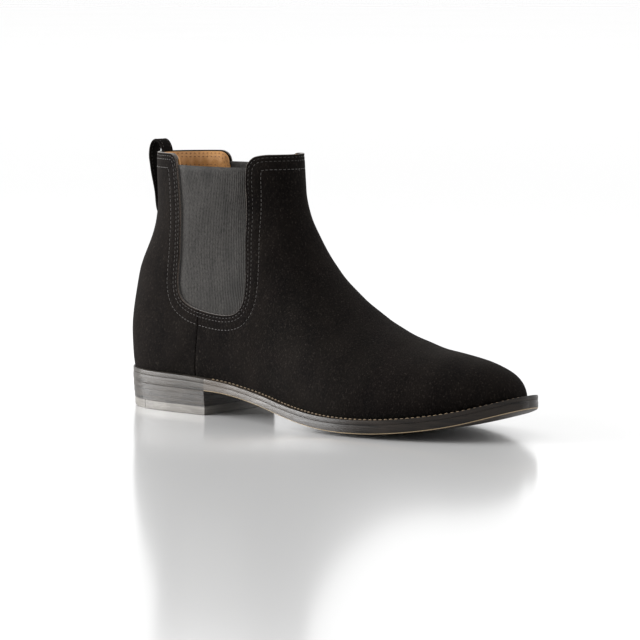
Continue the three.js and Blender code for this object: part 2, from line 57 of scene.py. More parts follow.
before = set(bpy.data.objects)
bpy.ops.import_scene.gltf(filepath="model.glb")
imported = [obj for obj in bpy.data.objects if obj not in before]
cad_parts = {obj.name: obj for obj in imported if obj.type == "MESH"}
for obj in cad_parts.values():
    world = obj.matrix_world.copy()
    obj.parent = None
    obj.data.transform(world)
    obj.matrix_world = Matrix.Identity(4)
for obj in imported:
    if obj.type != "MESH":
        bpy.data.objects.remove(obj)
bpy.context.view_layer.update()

# ---------------------------------------------------------------- the last
# Sections from the toe to the mouth, fanning round the instep. Each runs from a point on the bottom or the
# back to one on the front ridge: x and z of the front, x and z of the back, y of the front and of the back,
# half-widths on the outer and inner side, fullness, roundness.
SECTIONS = np.array([
    [291, 24, 292, 8, 8, 8, 3, 3, 0.8, 2.0],
    [287.5, 34.5, 281, 6, 8, 8, 18, 18, 0.8, 2.1],
    [275, 42, 264, 2, 8, 8, 28, 27, 0.8, 2.2],
    [254.5, 46.5, 246, -2, 7, 6, 37, 35, 0.8, 2.3],
    [224.5, 51, 222, -6, 6, 3, 44, 42, 0.8, 2.3],
    [194, 60, 193, -8, 5, 1, 47, 46, 0.82, 2.2],
    [170, 73.5, 160, -6, 4, 0, 43, 43, 0.85, 2.2],
    [151.5, 91, 120, 0, 3, 0, 37, 37, 0.85, 2.2],
    [140, 107.5, 84, 6, 2, 0, 35, 35, 0.82, 2.2],
    [134, 121, 48, 6, 1, 0, 34, 34, 0.76, 2.3],
    [131.5, 131, 12, 8, 0, 0, 33.5, 33.5, 0.7, 2.4],
    [130, 139, 0.5, 40, 0, 0, 31.5, 31.5, 0.72, 2.3],
    [129.5, 146, 3.5, 80, 0, 0, 29.5, 29.5, 0.8, 2.2],
    [128, 153.5, 16, 116, 0, 0, 28.5, 28.5, 0.92, 2.2],
    [127, 162.5, 15.5, 160.5, 0, 0, 28, 28, 1.0, 2.2],
])
MOUTH = len(SECTIONS) - 1
# Along x: height of the sole's top edge, thickness of its edge, and how far the tread's middle hangs below.
SOLE_TOP = [(-5, 25), (30, 24.2), (68, 23.4), (95, 21.5), (125, 17.5), (160, 12.6), (195, 10.4),
            (235, 12.2), (270, 18), (300, 27.5)]
SOLE_EDGE = [(-5, 8), (66, 8), (95, 6.8), (125, 6.8), (195, 8), (300, 8)]
TREAD_CROWN = [(-5, 0), (79, 0), (110, 0.3), (140, 1.5), (170, 2.3), (195, 2.37), (235, 2), (270, 1.2),
               (300, 0.4)]
# Outline of the sole from the back round the outer side to the toe and home.
OUTLINE = np.array([
    (0, 0), (3, -14), (11, -24.5), (24, -31.5), (42, -34.2), (62, -34.2), (82, -33.8), (102, -34),
    (124, -36.4), (150, -42.6), (178, -48.6), (203, -49.8), (228, -46), (252, -37.5), (272, -26.5),
    (286, -14.5), (294.5, -3), (298, 8), (295.5, 20), (287, 31.5), (272, 41), (252, 48.4), (228, 52.6),
    (203, 53.8), (178, 51.4), (150, 44), (124, 36.4), (102, 33.4), (82, 33.4), (62, 34.2), (42, 34.2),
    (24, 31.5), (11, 24.5), (3, 14)])
SIDES = (("lateral", -1), ("medial", 1))
# Edge of the suede seen from the side: along the top from the back, round the gore and to the front again.
GORE_EDGE = [(50.2, 153.5), (52.6, 141), (54.8, 122), (55.8, 102), (55.2, 88), (55.6, 79), (59, 72),
             (66.5, 67.6), (77, 65), (89, 63.6), (99, 63.8), (106, 66.4), (109.6, 72.5), (110, 81),
             (108.4, 94), (105.6, 112), (104.4, 134), (104.6, 152)]
TOP_EDGE_BACK = [(12, 160.44), (15.5, 160.5), (28, 160.73), (38, 160.92), (44.4, 160.7), (48.4, 158.3)]
TOP_EDGE_FRONT = [(105.7, 156.8), (109.2, 160.6), (114.6, 162.05), (120, 162.36), (127, 162.5),
                  (134, 162.62)]
SIDE_SEAM = [(68.2, 14), (68.7, 22), (71, 34), (72.6, 44), (73.8, 54), (74.5, 65.4)]
SEAM_TOP = 68  # the side seam runs from the sole up to the gore
BACK_SECTION = 13.3  # the highest section that a floor can cut at the back

HEEL_LENGTH = 79
HEEL_BEVEL_RISE = 2.7
HEEL_BEVEL_LENGTH = 15
HEEL_TAPER = 1.2
RUBBER_LENGTH = 27
RUBBER_RIB = 0.35
RUBBER_RIB_PITCH = 2.4
TOP_PIECE = 5.4
LIFT = 3.1
LIFTS = 3
CLEARANCE = 0.3
LAYER_GAP = 0.02  # left between two glued layers
BREAST_GAP = 0.05  # left at the heel breast by the welt ahead of it and the rand behind it
WELT_THICKNESS = 2.7
WELT_WIDTH = 11
WALL_BELLY = 0.15
SOLE_BELLY = 0.25
HEEL_BELLY = 0.06
BEHIND, AHEAD = -10, 400  # cuts that lie clear of the sole at either end
GORE_TOP = 154
GORE_SWELL = 0.55
GORE_TUCK = 6
SELVEDGE = 3.2
TAB_WIDTH = 10
TAB_THICKNESS = 1.7
TAB_INSERT = 16
TAB_FOOT = 118
TAB_BEND = (148, 163)  # two heights on the strap, which its shape doesn't use
TAB_ROW = 0.66  # how far out its stitch rows run, as a share of half its width
BACK_TOP = (15.5, 160.5)

# Depths below the suede's face, and how far each layer is drawn in from the suede's cut edge.
MIDDLE_DEPTH = 1.75
MIDDLE_THICKNESS = 1.05
MIDDLE_DRAWN_IN = 1.7
LINING_DEPTH = 3.0
LINING_THICKNESS = 1.1
LINING_DRAWN_IN = 0.7
TURNED_TOP = 1.3  # how much thicker the suede is where its top edge is turned
GROOVE_DEPTH = 0.2
GROOVE_WIDTH = 0.4
SUNK = 0.4  # the upper's lower edge sits this far into the welt


# ---------------------------------------------------------------- sizes and colours
def linear(code):
    """sRGB hex colour as linear red, green, blue and alpha."""
    parts = [int(code[i:i + 2], 16) / 255 for i in (1, 3, 5)]
    return tuple(p / 12.92 if p <= 0.04045 else ((p + 0.055) / 1.055) ** 2.4 for p in parts) + (1.0,)


def length(name, description, default):
    """A size that a user can change, in metres."""
    return FloatProperty(name=name, description=description, default=default, min=0, precision=5,
                         unit="LENGTH")


def colour(name, description, code):
    """A colour that a user can change."""
    return FloatVectorProperty(name=name, description=description, default=linear(code), size=4, min=0,
                               max=1, subtype="COLOR")


class BootSizes(PropertyGroup):
    """Sizes of the visible finish, in metres"""
    suede: length("Suede", "Thickness of the suede", 0.0015)
    edge_radius: length("Edge radius", "Rounding of the suede's cut edges", 0.0006)
    first_row: length("First row", "Distance of the first stitch row from the edge", 0.0018)
    second_row: length("Second row", "Distance of the second stitch row from the edge", 0.0040)
    outer_row: length("Outer row", "Distance of the outermost stitch row from the edge", 0.0092)
    stitch_pitch: length("Stitch pitch", "From one stitch to the next on the upper", 0.0027)
    thread: length("Thread", "Thickness of the upper's thread", 0.00038)
    welt_stitch_pitch: length("Welt stitch pitch", "From one welt stitch to the next", 0.0034)
    welt_thread: length("Welt thread", "Thickness of the waxed welt thread", 0.0006)
    welt_stitch_inset: length("Welt stitch inset", "From the edge of the welt to its stitches", 0.0040)
    rib_pitch: length("Rib pitch", "From one rib of the elastic to the next", 0.00125)
    rib_height: length("Rib height", "Height of the elastic's ribs", 0.00032)
    edge_bevel: length("Edge bevel", "Rounding of the leather edges of the sole and heel", 0.0004)


class BootColours(PropertyGroup):
    """Colours of the finishes"""
    suede: colour("Suede", "Nap lying flat", "#050404")
    suede_nap: colour("Suede nap", "Nap brushed up", "#110e0c")
    suede_fleck: colour("Suede fleck", "Fibres that stand up and catch the light", "#35302c")
    # Paler cut fibres, and partly a painted highlight along the suede's edges.
    suede_edge: colour("Suede edge", "Cut edge of the suede", "#5e554d")
    elastic: colour("Elastic", "Ground of the elastic", "#201f1e")
    elastic_fleck: colour("Elastic fleck", "Lighter yarn in the elastic", "#3c3a38")
    lining: colour("Lining", "Calf lining", "#b5854c")
    lining_grain: colour("Lining grain", "Darker grain of the lining", "#8a5f30")
    thread: colour("Thread", "Thread of the upper", "#302c29")
    lining_thread: colour("Lining thread", "Thread that shows on the lining", "#6b4524")
    welt_thread: colour("Welt thread", "Waxed thread of the welt", "#78644a")
    sole_edge: colour("Sole edge", "Ink on the edge of the sole", "#0b0908")
    sole_streak: colour("Sole streak", "Where the ink is rubbed thin", "#221c17")
    # Painted highlight on the sole's edge at the waist.
    waist_highlight: colour("Waist", "Edge of the sole at the waist", "#38312a")
    heel: colour("Heel", "Ink on the heel's lifts", "#161412")
    heel_streak: colour("Heel streak", "Streaks of the heel's lifts", "#3b3733")
    top_piece_streak: colour("Top piece streak", "Streaks of the heel's lowest layer", "#6c6964")
    tread: colour("Tread", "Under side of the sole", "#33281e")
    bare: colour("Bare leather", "Leather that the ink has not reached", "#a08c6c")
    rubber: colour("Rubber", "Heel tip", "#1d1d1d")


def size(name):
    """A size of the finish in millimetres."""
    return getattr(bpy.context.scene.boot_sizes, name) * 1000


def paint(name):
    """A colour of the finish, linear."""
    return tuple(getattr(bpy.context.scene.boot_colours, name))


# ---------------------------------------------------------------- curves
def along(rows, t):
    """Catmull-Rom curve through rows at 0, 1, 2 ...; past each end it runs on straight."""
    last = len(rows) - 1
    t = np.asarray(t, float)
    i = np.clip(np.floor(t).astype(int), 0, last - 1)
    f = (t - i)[:, None]
    b, c = rows[i], rows[i + 1]
    a = np.where((i > 0)[:, None], rows[np.maximum(i - 1, 0)], 2 * b - c)
    d = np.where((i + 2 <= last)[:, None], rows[np.minimum(i + 2, last)], 2 * c - b)
    return 0.5 * (2 * b + (c - a) * f + (2 * a - 5 * b + 4 * c - d) * f ** 2
                  + (3 * b - a - 3 * c + d) * f ** 3)


def profile(table, x):
    """Smooth value read off a table of (x, value) rows."""
    places, values = np.array(table, float).T
    slopes = np.gradient(values, places)
    x = np.clip(np.asarray(x, float), places[0], places[-1])
    i = np.clip(np.searchsorted(places, x) - 1, 0, len(places) - 2)
    h = places[i + 1] - places[i]
    t = (x - places[i]) / h
    return ((2 * t ** 3 - 3 * t ** 2 + 1) * values[i] + (t ** 3 - 2 * t ** 2 + t) * h * slopes[i]
            + (3 * t ** 2 - 2 * t ** 3) * values[i + 1] + (t ** 3 - t ** 2) * h * slopes[i + 1])


def smoothstep(t):
    """0 to 1 with a soft start and a soft end."""
    t = np.clip(t, 0, 1)
    return t * t * (3 - 2 * t)


def resampled(points, step):
    """The same line with its points an even step apart."""
    points = np.asarray(points, float)
    runs = np.linalg.norm(np.diff(points, axis=0), axis=1)
    keep = np.concatenate([[True], runs > 1e-6])
    points = points[keep]
    reach = np.concatenate([[0], np.cumsum(np.linalg.norm(np.diff(points, axis=0), axis=1))])
    marks = np.linspace(0, reach[-1], max(int(round(reach[-1] / step)), 1) + 1)
    return np.stack([np.interp(marks, reach, column) for column in points.T], axis=1)


def smooth_line(points, step):
    """A smooth curve through some points, as points an even step apart."""
    rows = np.array(points, float)
    return resampled(along(rows, np.linspace(0, len(rows) - 1, 40 * len(rows))), step)


def distance_to_line(points, line):
    """Distance of each point to the nearest place on a line, both in one plane."""
    a, b = line[:-1], line[1:]
    run = b - a
    squared = np.maximum((run ** 2).sum(1), 1e-12)
    nearest = []
    for chunk in np.array_split(points, max(len(points) // 1500, 1)):
        share = np.clip(((chunk[:, None] - a) * run).sum(2) / squared, 0, 1)
        gap = chunk[:, None] - (a + share[..., None] * run)
        nearest.append(np.sqrt((gap ** 2).sum(2).min(1)))
    return np.concatenate(nearest)


def inside_outline(points, outline):
    """Which of the points lie inside a closed outline."""
    x, y = points[:, :1], points[:, 1:]
    x0, y0 = outline[:, 0], outline[:, 1]
    x1, y1 = np.roll(x0, -1), np.roll(y0, -1)
    rise = np.where(y1 == y0, 1e-12, y1 - y0)
    crossed = ((y0 > y) != (y1 > y)) & (x < (x1 - x0) * (y - y0) / rise + x0)
    return crossed.sum(1) % 2 == 1


# ---------------------------------------------------------------- the upper's surface
# A place on the upper is a pair: t counts sections, and turn runs from the front ridge (0) round to the
# back (pi), negative on the outer side of the foot.
def upper_point(t, turn):
    """The smooth surface that the upper's face follows."""
    turn = (turn + np.pi) % (2 * np.pi) - np.pi
    row = along(SECTIONS, t)
    share = ((1 + np.cos(turn)) / 2) ** (1 / row[:, 8])
    half_width = np.where(turn < 0, row[:, 6], row[:, 7])
    width = half_width * np.sqrt(np.maximum(1 - np.abs(np.cos(turn)) ** row[:, 9], 0))
    return np.stack([row[:, 2] + (row[:, 0] - row[:, 2]) * share,
                     row[:, 5] + (row[:, 4] - row[:, 5]) * share + np.sign(turn) * width,
                     row[:, 3] + (row[:, 1] - row[:, 3]) * share], axis=1)


def upper_face(t, turn):
    """Points of the upper's face and the way out of it there."""
    t, turn = np.asarray(t, float), np.asarray(turn, float)
    place = upper_point(t, turn)
    along_t = upper_point(np.minimum(t + 0.02, MOUTH), turn) - upper_point(np.maximum(t - 0.02, 0), turn)
    along_turn = upper_point(t, turn + 0.03) - upper_point(t, turn - 0.03)
    out = np.cross(along_turn, along_t)
    out /= np.maximum(np.linalg.norm(out, axis=1, keepdims=True), 1e-12)
    x, y, z = place.T
    # The hide is never quite even over the last.
    ripple = (0.15 * np.sin(x / 8.3 + 0.8 * np.sin(z / 13)) * np.sin(z / 10.7 + y / 17)
              + 0.08 * np.sin(x / 4.1 - z / 5.3 + y / 7))
    return place + out * ripple[:, None], out


def find_upper(points, side):
    """The t and turn of places given by x and z on one side; a place past the outline is moved onto it."""
    x, z = np.asarray(points, float).T
    low, high = np.zeros(len(x)), np.full(len(x), float(MOUTH))
    for _ in range(40):
        middle = (low + high) / 2
        row = along(SECTIONS, middle)
        ahead = (row[:, 0] - row[:, 2]) * (z - row[:, 3]) - (row[:, 1] - row[:, 3]) * (x - row[:, 2]) > 0
        low, high = np.where(ahead, middle, low), np.where(ahead, high, middle)
    t = (low + high) / 2
    row = along(SECTIONS, t)
    run_x, run_z = row[:, 0] - row[:, 2], row[:, 1] - row[:, 3]
    share = ((x - row[:, 2]) * run_x + (z - row[:, 3]) * run_z) / (run_x ** 2 + run_z ** 2)
    turn = np.arccos(np.clip(2 * np.clip(share, 0, 1) ** row[:, 8] - 1, -1, 1))
    return np.stack([t, side * turn], axis=1)


# The upper laid out flat, nearly true to size: forward along the sections, and round them.
GRID_T = np.linspace(0, MOUTH, 281)
GRID_TURN = np.linspace(0, np.pi, 41)
GRID = np.array([upper_point(np.full(len(GRID_TURN), t), -GRID_TURN) for t in GRID_T])
FLAT_FORWARD = np.concatenate([[0], np.cumsum(np.linalg.norm(np.diff(GRID, axis=0), axis=2).mean(1))])
FLAT_GIRTH = np.linalg.norm(np.diff(GRID, axis=1), axis=2).sum(1) / np.pi


def to_flat(places):
    """Places on the upper, laid out flat."""
    t, turn = places.T
    return np.stack([np.interp(t, GRID_T, FLAT_FORWARD), turn * np.interp(t, GRID_T, FLAT_GIRTH)], axis=1)


def from_flat(points):
    """The places on the upper that flat points stand for."""
    t = np.interp(points[:, 0], FLAT_FORWARD, GRID_T)
    return np.stack([t, points[:, 1] / np.interp(t, GRID_T, FLAT_GIRTH)], axis=1)


# ---------------------------------------------------------------- cut edges of the upper
EDGE = smooth_line(TOP_EDGE_BACK + GORE_EDGE + TOP_EDGE_FRONT, 0.5)
SEAM = smooth_line(SIDE_SEAM, 0.5)
TOP_EDGE = EDGE[EDGE[:, 1] > 158.5]


def moved_edge(line, distance):
    """A cut edge moved into the leather by a distance; places where it would cross itself are left out."""
    run = np.gradient(line, axis=0)
    run /= np.linalg.norm(run, axis=1, keepdims=True)
    moved = line + distance * np.stack([run[:, 1], -run[:, 0]], axis=1)
    return moved[distance_to_line(moved, line) > 0.985 * abs(distance) - 1e-9]


def floor_line(side, floor, sections):
    """Where the upper's face meets a floor given by x, at each of some sections."""
    turns = np.linspace(0, np.pi, 241)
    found = []
    for t in sections:
        place = upper_point(np.full(241, t), side * turns)
        above = place[:, 2] - floor(place[:, 0])
        below = np.nonzero(above < 0)[0]
        if above[0] <= 0:
            continue
        if len(below) == 0:
            found.append((t, side * np.pi))
            continue
        j = below[0]
        share = above[j - 1] / (above[j - 1] - above[j])
        found.append((t, side * (turns[j - 1] + share * (turns[j] - turns[j - 1]))))
    return np.array(found)


def feather(x):
    """Height at which the upper goes into the welt."""
    return profile(SOLE_TOP, x) - SUNK


def seam_between(floor, lower):
    """The side seam from a floor up to the cut edge, or to an edge drawn in by a distance."""
    clear = distance_to_line(SEAM, EDGE) > lower + 0.2
    return SEAM[(SEAM[:, 1] > floor(SEAM[:, 0]) + 0.2) & clear]


def first_section(floor):
    """The section at which the ridge comes out of the floor at the toe."""
    ts = np.linspace(0, 6, 2401)
    ridge = upper_point(ts, np.zeros(len(ts)))
    return ts[np.nonzero(ridge[:, 2] > floor(ridge[:, 0]))[0][0]]


def quarter_outline(side, floor=feather, lower=0.0):
    """Outline of a quarter: up the back, along the top and down the gore, then down the side seam."""
    edge = EDGE if lower == 0 else moved_edge(EDGE, lower)
    edge = edge[:int(np.argmin(np.linalg.norm(edge - SEAM[-1], axis=1))) + 1]
    top = find_upper(edge, side)
    seam = find_upper(seam_between(floor, lower)[::-1], side)
    foot = floor_line(side, floor, np.linspace(seam[-1, 0], BACK_SECTION, 220))
    foot = foot[np.abs(foot[:, 1]) < np.pi - 1e-6]
    back = upper_point(GRID_T, np.full(len(GRID_T), side * np.pi))
    rising = GRID_T[(GRID_T > 10) & (back[:, 2] > floor(back[:, 0]))]
    start = max(rising[0], foot[-1, 0] + 1e-3)
    back_t = np.linspace(start, top[0, 0], 200)
    up = np.stack([back_t, np.full(200, side * np.pi)], axis=1)
    return np.vstack([up, top[1:], seam[:-1], foot])


def front_outline(floor=feather, lower=0.0):
    """Outline of the front: both side seams and gore edges, the top, and the foot round the toe."""
    edge = EDGE if lower == 0 else moved_edge(EDGE, lower)
    edge = edge[int(np.argmin(np.linalg.norm(edge - SEAM[-1], axis=1))):]
    start = first_section(floor)
    halves = []
    for side in (-1, 1):
        seam = find_upper(seam_between(floor, lower), side)
        top = find_upper(edge, side)
        top = top[np.abs(top[:, 1]) > 1e-3]
        near = start + 1.1 * np.linspace(0.02, 1, 60) ** 2
        rest = np.linspace(near[-1] + 0.03, seam[0, 0], 220)
        foot = np.vstack([floor_line(side, floor, near), floor_line(side, floor, rest)])
        halves.append((foot, np.vstack([seam, top])))
    (foot_out, up_out), (foot_in, up_in) = halves
    return np.vstack([[[start, 0]], foot_out[:-1], up_out, [[up_out[-1, 0], 0]], up_in[::-1],
                      foot_in[:-1][::-1]])


# ---------------------------------------------------------------- meshes
sole_lo, sole_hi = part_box("outsole")


def plan(inset=0.0):
    """The sole's outline drawn in by a distance."""
    count, fine = len(OUTLINE), 14
    looped = np.vstack([OUTLINE[-1:], OUTLINE, OUTLINE[:2]])
    curve = along(looped, 1 + np.arange(count * fine) / fine)
    run = np.roll(curve, -1, axis=0) - np.roll(curve, 1, axis=0)
    run /= np.linalg.norm(run, axis=1, keepdims=True)
    return curve + inset * np.stack([-run[:, 1], run[:, 0]], axis=1)


# The sole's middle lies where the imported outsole's middle lies. The outsole's corners are in metres.
PLAN_MIDDLE = (plan().min(0) + plan().max(0)) / 2
PACKED_MIDDLE = np.array([sole_lo.x + sole_hi.x, sole_lo.y + sole_hi.y]) / 2 * 1000
OFFSET = np.append(PACKED_MIDDLE - PLAN_MIDDLE, 0.0)


def to_row(points):
    """Points in millimetres in the last's frame, as metres in the row's."""
    return (np.asarray(points, float) + OFFSET) / 1000


def triangulate(outline, inside):
    """Triangles that fill a closed outline in the plane, using the points inside it."""
    points = [Vector(p) for p in np.vstack([outline, inside])]
    count = len(outline)
    edges = [(i, (i + 1) % count) for i in range(count)]
    places, _, faces, _, _, _ = delaunay_2d_cdt(points, edges, [], 1, 1e-4)
    return np.array([tuple(p) for p in places]), [tuple(f) for f in faces]


def divided(outline, step):
    """A closed outline with more points wherever two of them lie more than a step apart."""
    ends = np.roll(outline, -1, axis=0)
    counts = np.maximum(np.ceil(np.linalg.norm(ends - outline, axis=1) / step).astype(int), 1)
    return np.vstack([a + (b - a) * np.arange(n)[:, None] / n for a, b, n in zip(outline, ends, counts)])


def hex_grid(low, high, spacing):
    """Points in staggered rows, an even spacing apart, over the rectangle between two corners."""
    xs = np.arange(low[0], high[0], spacing)
    rows = [np.stack([xs + (spacing / 2 if i % 2 else 0), np.full(len(xs), y)], axis=1)
            for i, y in enumerate(np.arange(low[1], high[1], spacing * 0.866))]
    return np.vstack(rows)


def new_piece(name, points, faces, *materials, slots=None):
    """A mesh object in the row's frame from points in millimetres."""
    mesh = bpy.data.meshes.new(name)
    mesh.from_pydata([tuple(p) for p in to_row(points)], [], faces)
    for material in materials:
        mesh.materials.append(material)
    if slots is not None:
        mesh.polygons.foreach_set("material_index", slots)
    mesh.shade_smooth()
    mesh.validate()
    obj = bpy.data.objects.new(name, mesh)
    bpy.context.scene.collection.objects.link(obj)
    return obj


def shell(outer, inner, faces, walls=1, bulge=0.0, out=None):
    """Points and faces of a closed skin between two matching sheets, and the number of its first wall face.

    The walls round the rim have some rows of faces, and can belly out."""
    count = len(outer)
    directed = {(a, b) for face in faces for a, b in zip(face, face[1:] + face[:1])}
    rim = [(a, b) for a, b in directed if (b, a) not in directed]
    rim.sort()
    points = [outer, inner]
    start = {a: 2 * count + i * (walls - 1) for i, (a, _) in enumerate(rim)}
    for a, _ in rim:
        for step in range(1, walls):
            f = step / walls
            belly = bulge * 4 * f * (1 - f) * out[a] if out is not None else 0
            points.append([outer[a] * (1 - f) + inner[a] * f + belly])
    made = [tuple(f) for f in faces] + [tuple(i + count for i in f[::-1]) for f in faces]
    first_wall = len(made)
    for a, b in rim:
        column_a = [a] + [start[a] + k for k in range(walls - 1)] + [a + count]
        column_b = [b] + [start[b] + k for k in range(walls - 1)] + [b + count]
        for k in range(walls):
            made.append((column_b[k], column_a[k], column_a[k + 1], column_b[k + 1]))
    return np.vstack(points), made, first_wall


def facing(points, faces, out):
    """The faces turned so that they look along out."""
    a, b, c = (points[[f[i] for f in faces]] for i in range(3))
    normal = np.cross(b - a, c - a)
    same = (normal * out[[f[0] for f in faces]]).sum() > 0
    return faces if same else [f[::-1] for f in faces]


def bevelled(obj, width, segments=3, angle=40, material=-1):
    """Rounds the sharp edges of a finished mesh for good."""
    modifier = obj.modifiers.new("Rounded edges", "BEVEL")
    modifier.width = width / 1000
    modifier.segments = segments
    modifier.limit_method = "ANGLE"
    modifier.angle_limit = math.radians(angle)
    modifier.harden_normals = True
    modifier.material = material
    graph = bpy.context.evaluated_depsgraph_get()
    made = bpy.data.meshes.new_from_object(obj.evaluated_get(graph))
    obj.modifiers.clear()
    obj.data = made
    return obj


# ---------------------------------------------------------------- finishes
# Sockets of a colour mix: its share, the two colours it lies between, and the colour it gives.
SHARE, FIRST, SECOND, MIXED = 0, 6, 7, 2


def node(tree, kind, inputs=None, **settings):
    """One shader node; an input is a value, or a (node, output) pair to link."""
    made = tree.nodes.new(kind)
    for key, value in settings.items():
        setattr(made, key, value)
    for socket, value in (inputs or {}).items():
        if isinstance(value, tuple) and isinstance(value[0], bpy.types.Node):
            tree.links.new(value[0].outputs[value[1]], made.inputs[socket])
        else:
            made.inputs[socket].default_value = value
    return made


def new_material(name, sockets):
    """A node material and its shader, with plain numbers and colours set on the shader's own sockets."""
    material = bpy.data.materials.new(name)
    material.use_nodes = True
    tree = material.node_tree
    shader = tree.nodes["Principled BSDF"]
    for socket, value in sockets.items():
        shader.inputs[socket].default_value = value
    return material, tree, shader


def dimmed(tint, share):
    """A colour at a share of its brightness."""
    return tuple(part * share for part in tint[:3]) + (1,)


def brushed_suede():
    """Suede, the flesh side sanded to a nap: soft, near black, paler where the nap is brushed up."""
    material, tree, shader = new_material("Brushed suede", {
        "Roughness": 0.95, "Specular IOR Level": 0.04, "Sheen Weight": 0.03, "Sheen Roughness": 0.4,
        "Sheen Tint": linear("#b7aca3")})
    place = node(tree, "ShaderNodeTexCoord")
    # Brushed patches about 20 mm across.
    broad = node(tree, "ShaderNodeMapping", {"Vector": (place, "Object"), "Scale": (1, 1, 0.7)})
    patches = node(tree, "ShaderNodeTexNoise", {"Vector": (broad, 0), "Scale": 1 / 0.02, "Detail": 3,
                                                "Roughness": 0.55, "Distortion": 0.3})
    # Tufts of nap 1.6 mm across, and fibres 0.35 mm thick that are drawn at 0.9 mm, so that they show.
    fine = node(tree, "ShaderNodeMapping", {"Vector": (place, "Object"), "Scale": (1, 1, 0.6)})
    tufts = node(tree, "ShaderNodeTexNoise", {"Vector": (fine, 0), "Scale": 1 / 0.0016, "Detail": 3,
                                              "Roughness": 0.6, "Distortion": 0.8})
    fibres = node(tree, "ShaderNodeTexNoise", {"Vector": (fine, 0), "Scale": 1 / 0.0009, "Detail": 3,
                                               "Roughness": 0.75, "Distortion": 0.4})
    brushed = node(tree, "ShaderNodeMapRange", {"Value": (patches, 0), "From Min": 0.30, "From Max": 0.85})
    ground = node(tree, "ShaderNodeMix", {SHARE: (brushed, 0), FIRST: paint("suede"),
                                          SECOND: paint("suede_nap")}, data_type="RGBA")
    raised = node(tree, "ShaderNodeMapRange", {"Value": (tufts, 0), "From Min": 0.44, "From Max": 0.80})
    napped = node(tree, "ShaderNodeMix", {SHARE: (raised, 0), FIRST: (ground, MIXED),
                                          SECOND: paint("suede_nap")}, data_type="RGBA")
    stray = node(tree, "ShaderNodeMapRange", {"Value": (fibres, 0), "From Min": 0.56, "From Max": 0.88})
    flecked = node(tree, "ShaderNodeMix", {SHARE: (stray, 0), FIRST: (napped, MIXED),
                                           SECOND: paint("suede_fleck")}, data_type="RGBA")
    tree.links.new(flecked.outputs[MIXED], shader.inputs["Base Color"])
    soft = node(tree, "ShaderNodeBump", {"Height": (tufts, 0), "Distance": 0.00035, "Strength": 0.5})
    hairy = node(tree, "ShaderNodeBump", {"Height": (fibres, 0), "Distance": 0.00025, "Strength": 0.65,
                                          "Normal": (soft, 0)})
    tree.links.new(hairy.outputs[0], shader.inputs["Normal"])
    return material


def cut_suede():
    """Cut edge of the suede: open fibres, paler and duller than the nap; the paler colour is partly a painted
    highlight along the edge.
    """
    material, tree, shader = new_material("Cut suede edge", {
        "Roughness": 1.0, "Specular IOR Level": 0.1, "Sheen Weight": 0.2})
    place = node(tree, "ShaderNodeTexCoord")
    # Fibre bundles about 0.5 mm thick.
    fibres = node(tree, "ShaderNodeTexNoise", {"Vector": (place, "Object"), "Scale": 1 / 0.0005, "Detail": 2,
                                               "Roughness": 0.6})
    open_ends_and_highlight = node(tree, "ShaderNodeMapRange", {"Value": (fibres, 0), "From Min": 0.3, "From Max": 0.75})
    shade = node(tree, "ShaderNodeMix", {SHARE: (open_ends_and_highlight, 0), FIRST: paint("suede_nap"),
                                         SECOND: paint("suede_edge")}, data_type="RGBA")
    tree.links.new(shade.outputs[MIXED], shader.inputs["Base Color"])
    frayed = node(tree, "ShaderNodeBump", {"Height": (fibres, 0), "Distance": 0.0002, "Strength": 0.5})
    tree.links.new(frayed.outputs[0], shader.inputs["Normal"])
    return material


def ribbed_elastic():
    """Woven elastic webbing of rubber and polyester: matt grey ribs with a paler fleck of yarn."""
    material, tree, shader = new_material("Ribbed elastic", {"Roughness": 0.85, "Specular IOR Level": 0.2})
    place = node(tree, "ShaderNodeTexCoord")
    # Flecks of yarn 0.5 mm wide and 1.5 mm tall.
    tall = node(tree, "ShaderNodeMapping", {"Vector": (place, "Object"), "Scale": (1, 1, 0.35)})
    flecks = node(tree, "ShaderNodeTexNoise", {"Vector": (tall, 0), "Scale": 1 / 0.0005, "Detail": 3,
                                               "Roughness": 0.65})
    # Clouds 9 mm wide where the yarn took the dye unevenly.
    wide = node(tree, "ShaderNodeMapping", {"Vector": (place, "Object"), "Scale": (1, 1, 0.4)})
    clouds = node(tree, "ShaderNodeTexNoise", {"Vector": (wide, 0), "Scale": 1 / 0.009, "Detail": 2,
                                               "Roughness": 0.5})
    # Weft threads 0.28 mm apart: a wave is pi / 10 of the scale's 0.9 mm long.
    weft = node(tree, "ShaderNodeTexWave", {"Vector": (place, "Object"), "Scale": 1 / 0.0009,
                                            "Distortion": 0.6, "Detail": 1.0}, bands_direction="Z")
    paler = node(tree, "ShaderNodeMapRange", {"Value": (flecks, 0), "From Min": 0.36, "From Max": 0.68})
    yarn = node(tree, "ShaderNodeMix", {SHARE: (paler, 0), FIRST: paint("elastic"),
                                        SECOND: paint("elastic_fleck")}, data_type="RGBA")
    dyed = node(tree, "ShaderNodeMapRange", {"Value": (clouds, 0), "From Min": 0.1, "From Max": 0.5})
    shade = node(tree, "ShaderNodeMix", {SHARE: (dyed, 0), FIRST: dimmed(paint("elastic"), 0.8),
                                         SECOND: (yarn, MIXED)}, data_type="RGBA")
    tree.links.new(shade.outputs[MIXED], shader.inputs["Base Color"])
    woven = node(tree, "ShaderNodeBump", {"Height": (weft, 1), "Distance": 0.00012, "Strength": 0.4})
    rough = node(tree, "ShaderNodeBump", {"Height": (flecks, 0), "Distance": 0.0002, "Strength": 0.45,
                                          "Normal": (woven, 0)})
    tree.links.new(rough.outputs[0], shader.inputs["Normal"])
    return material


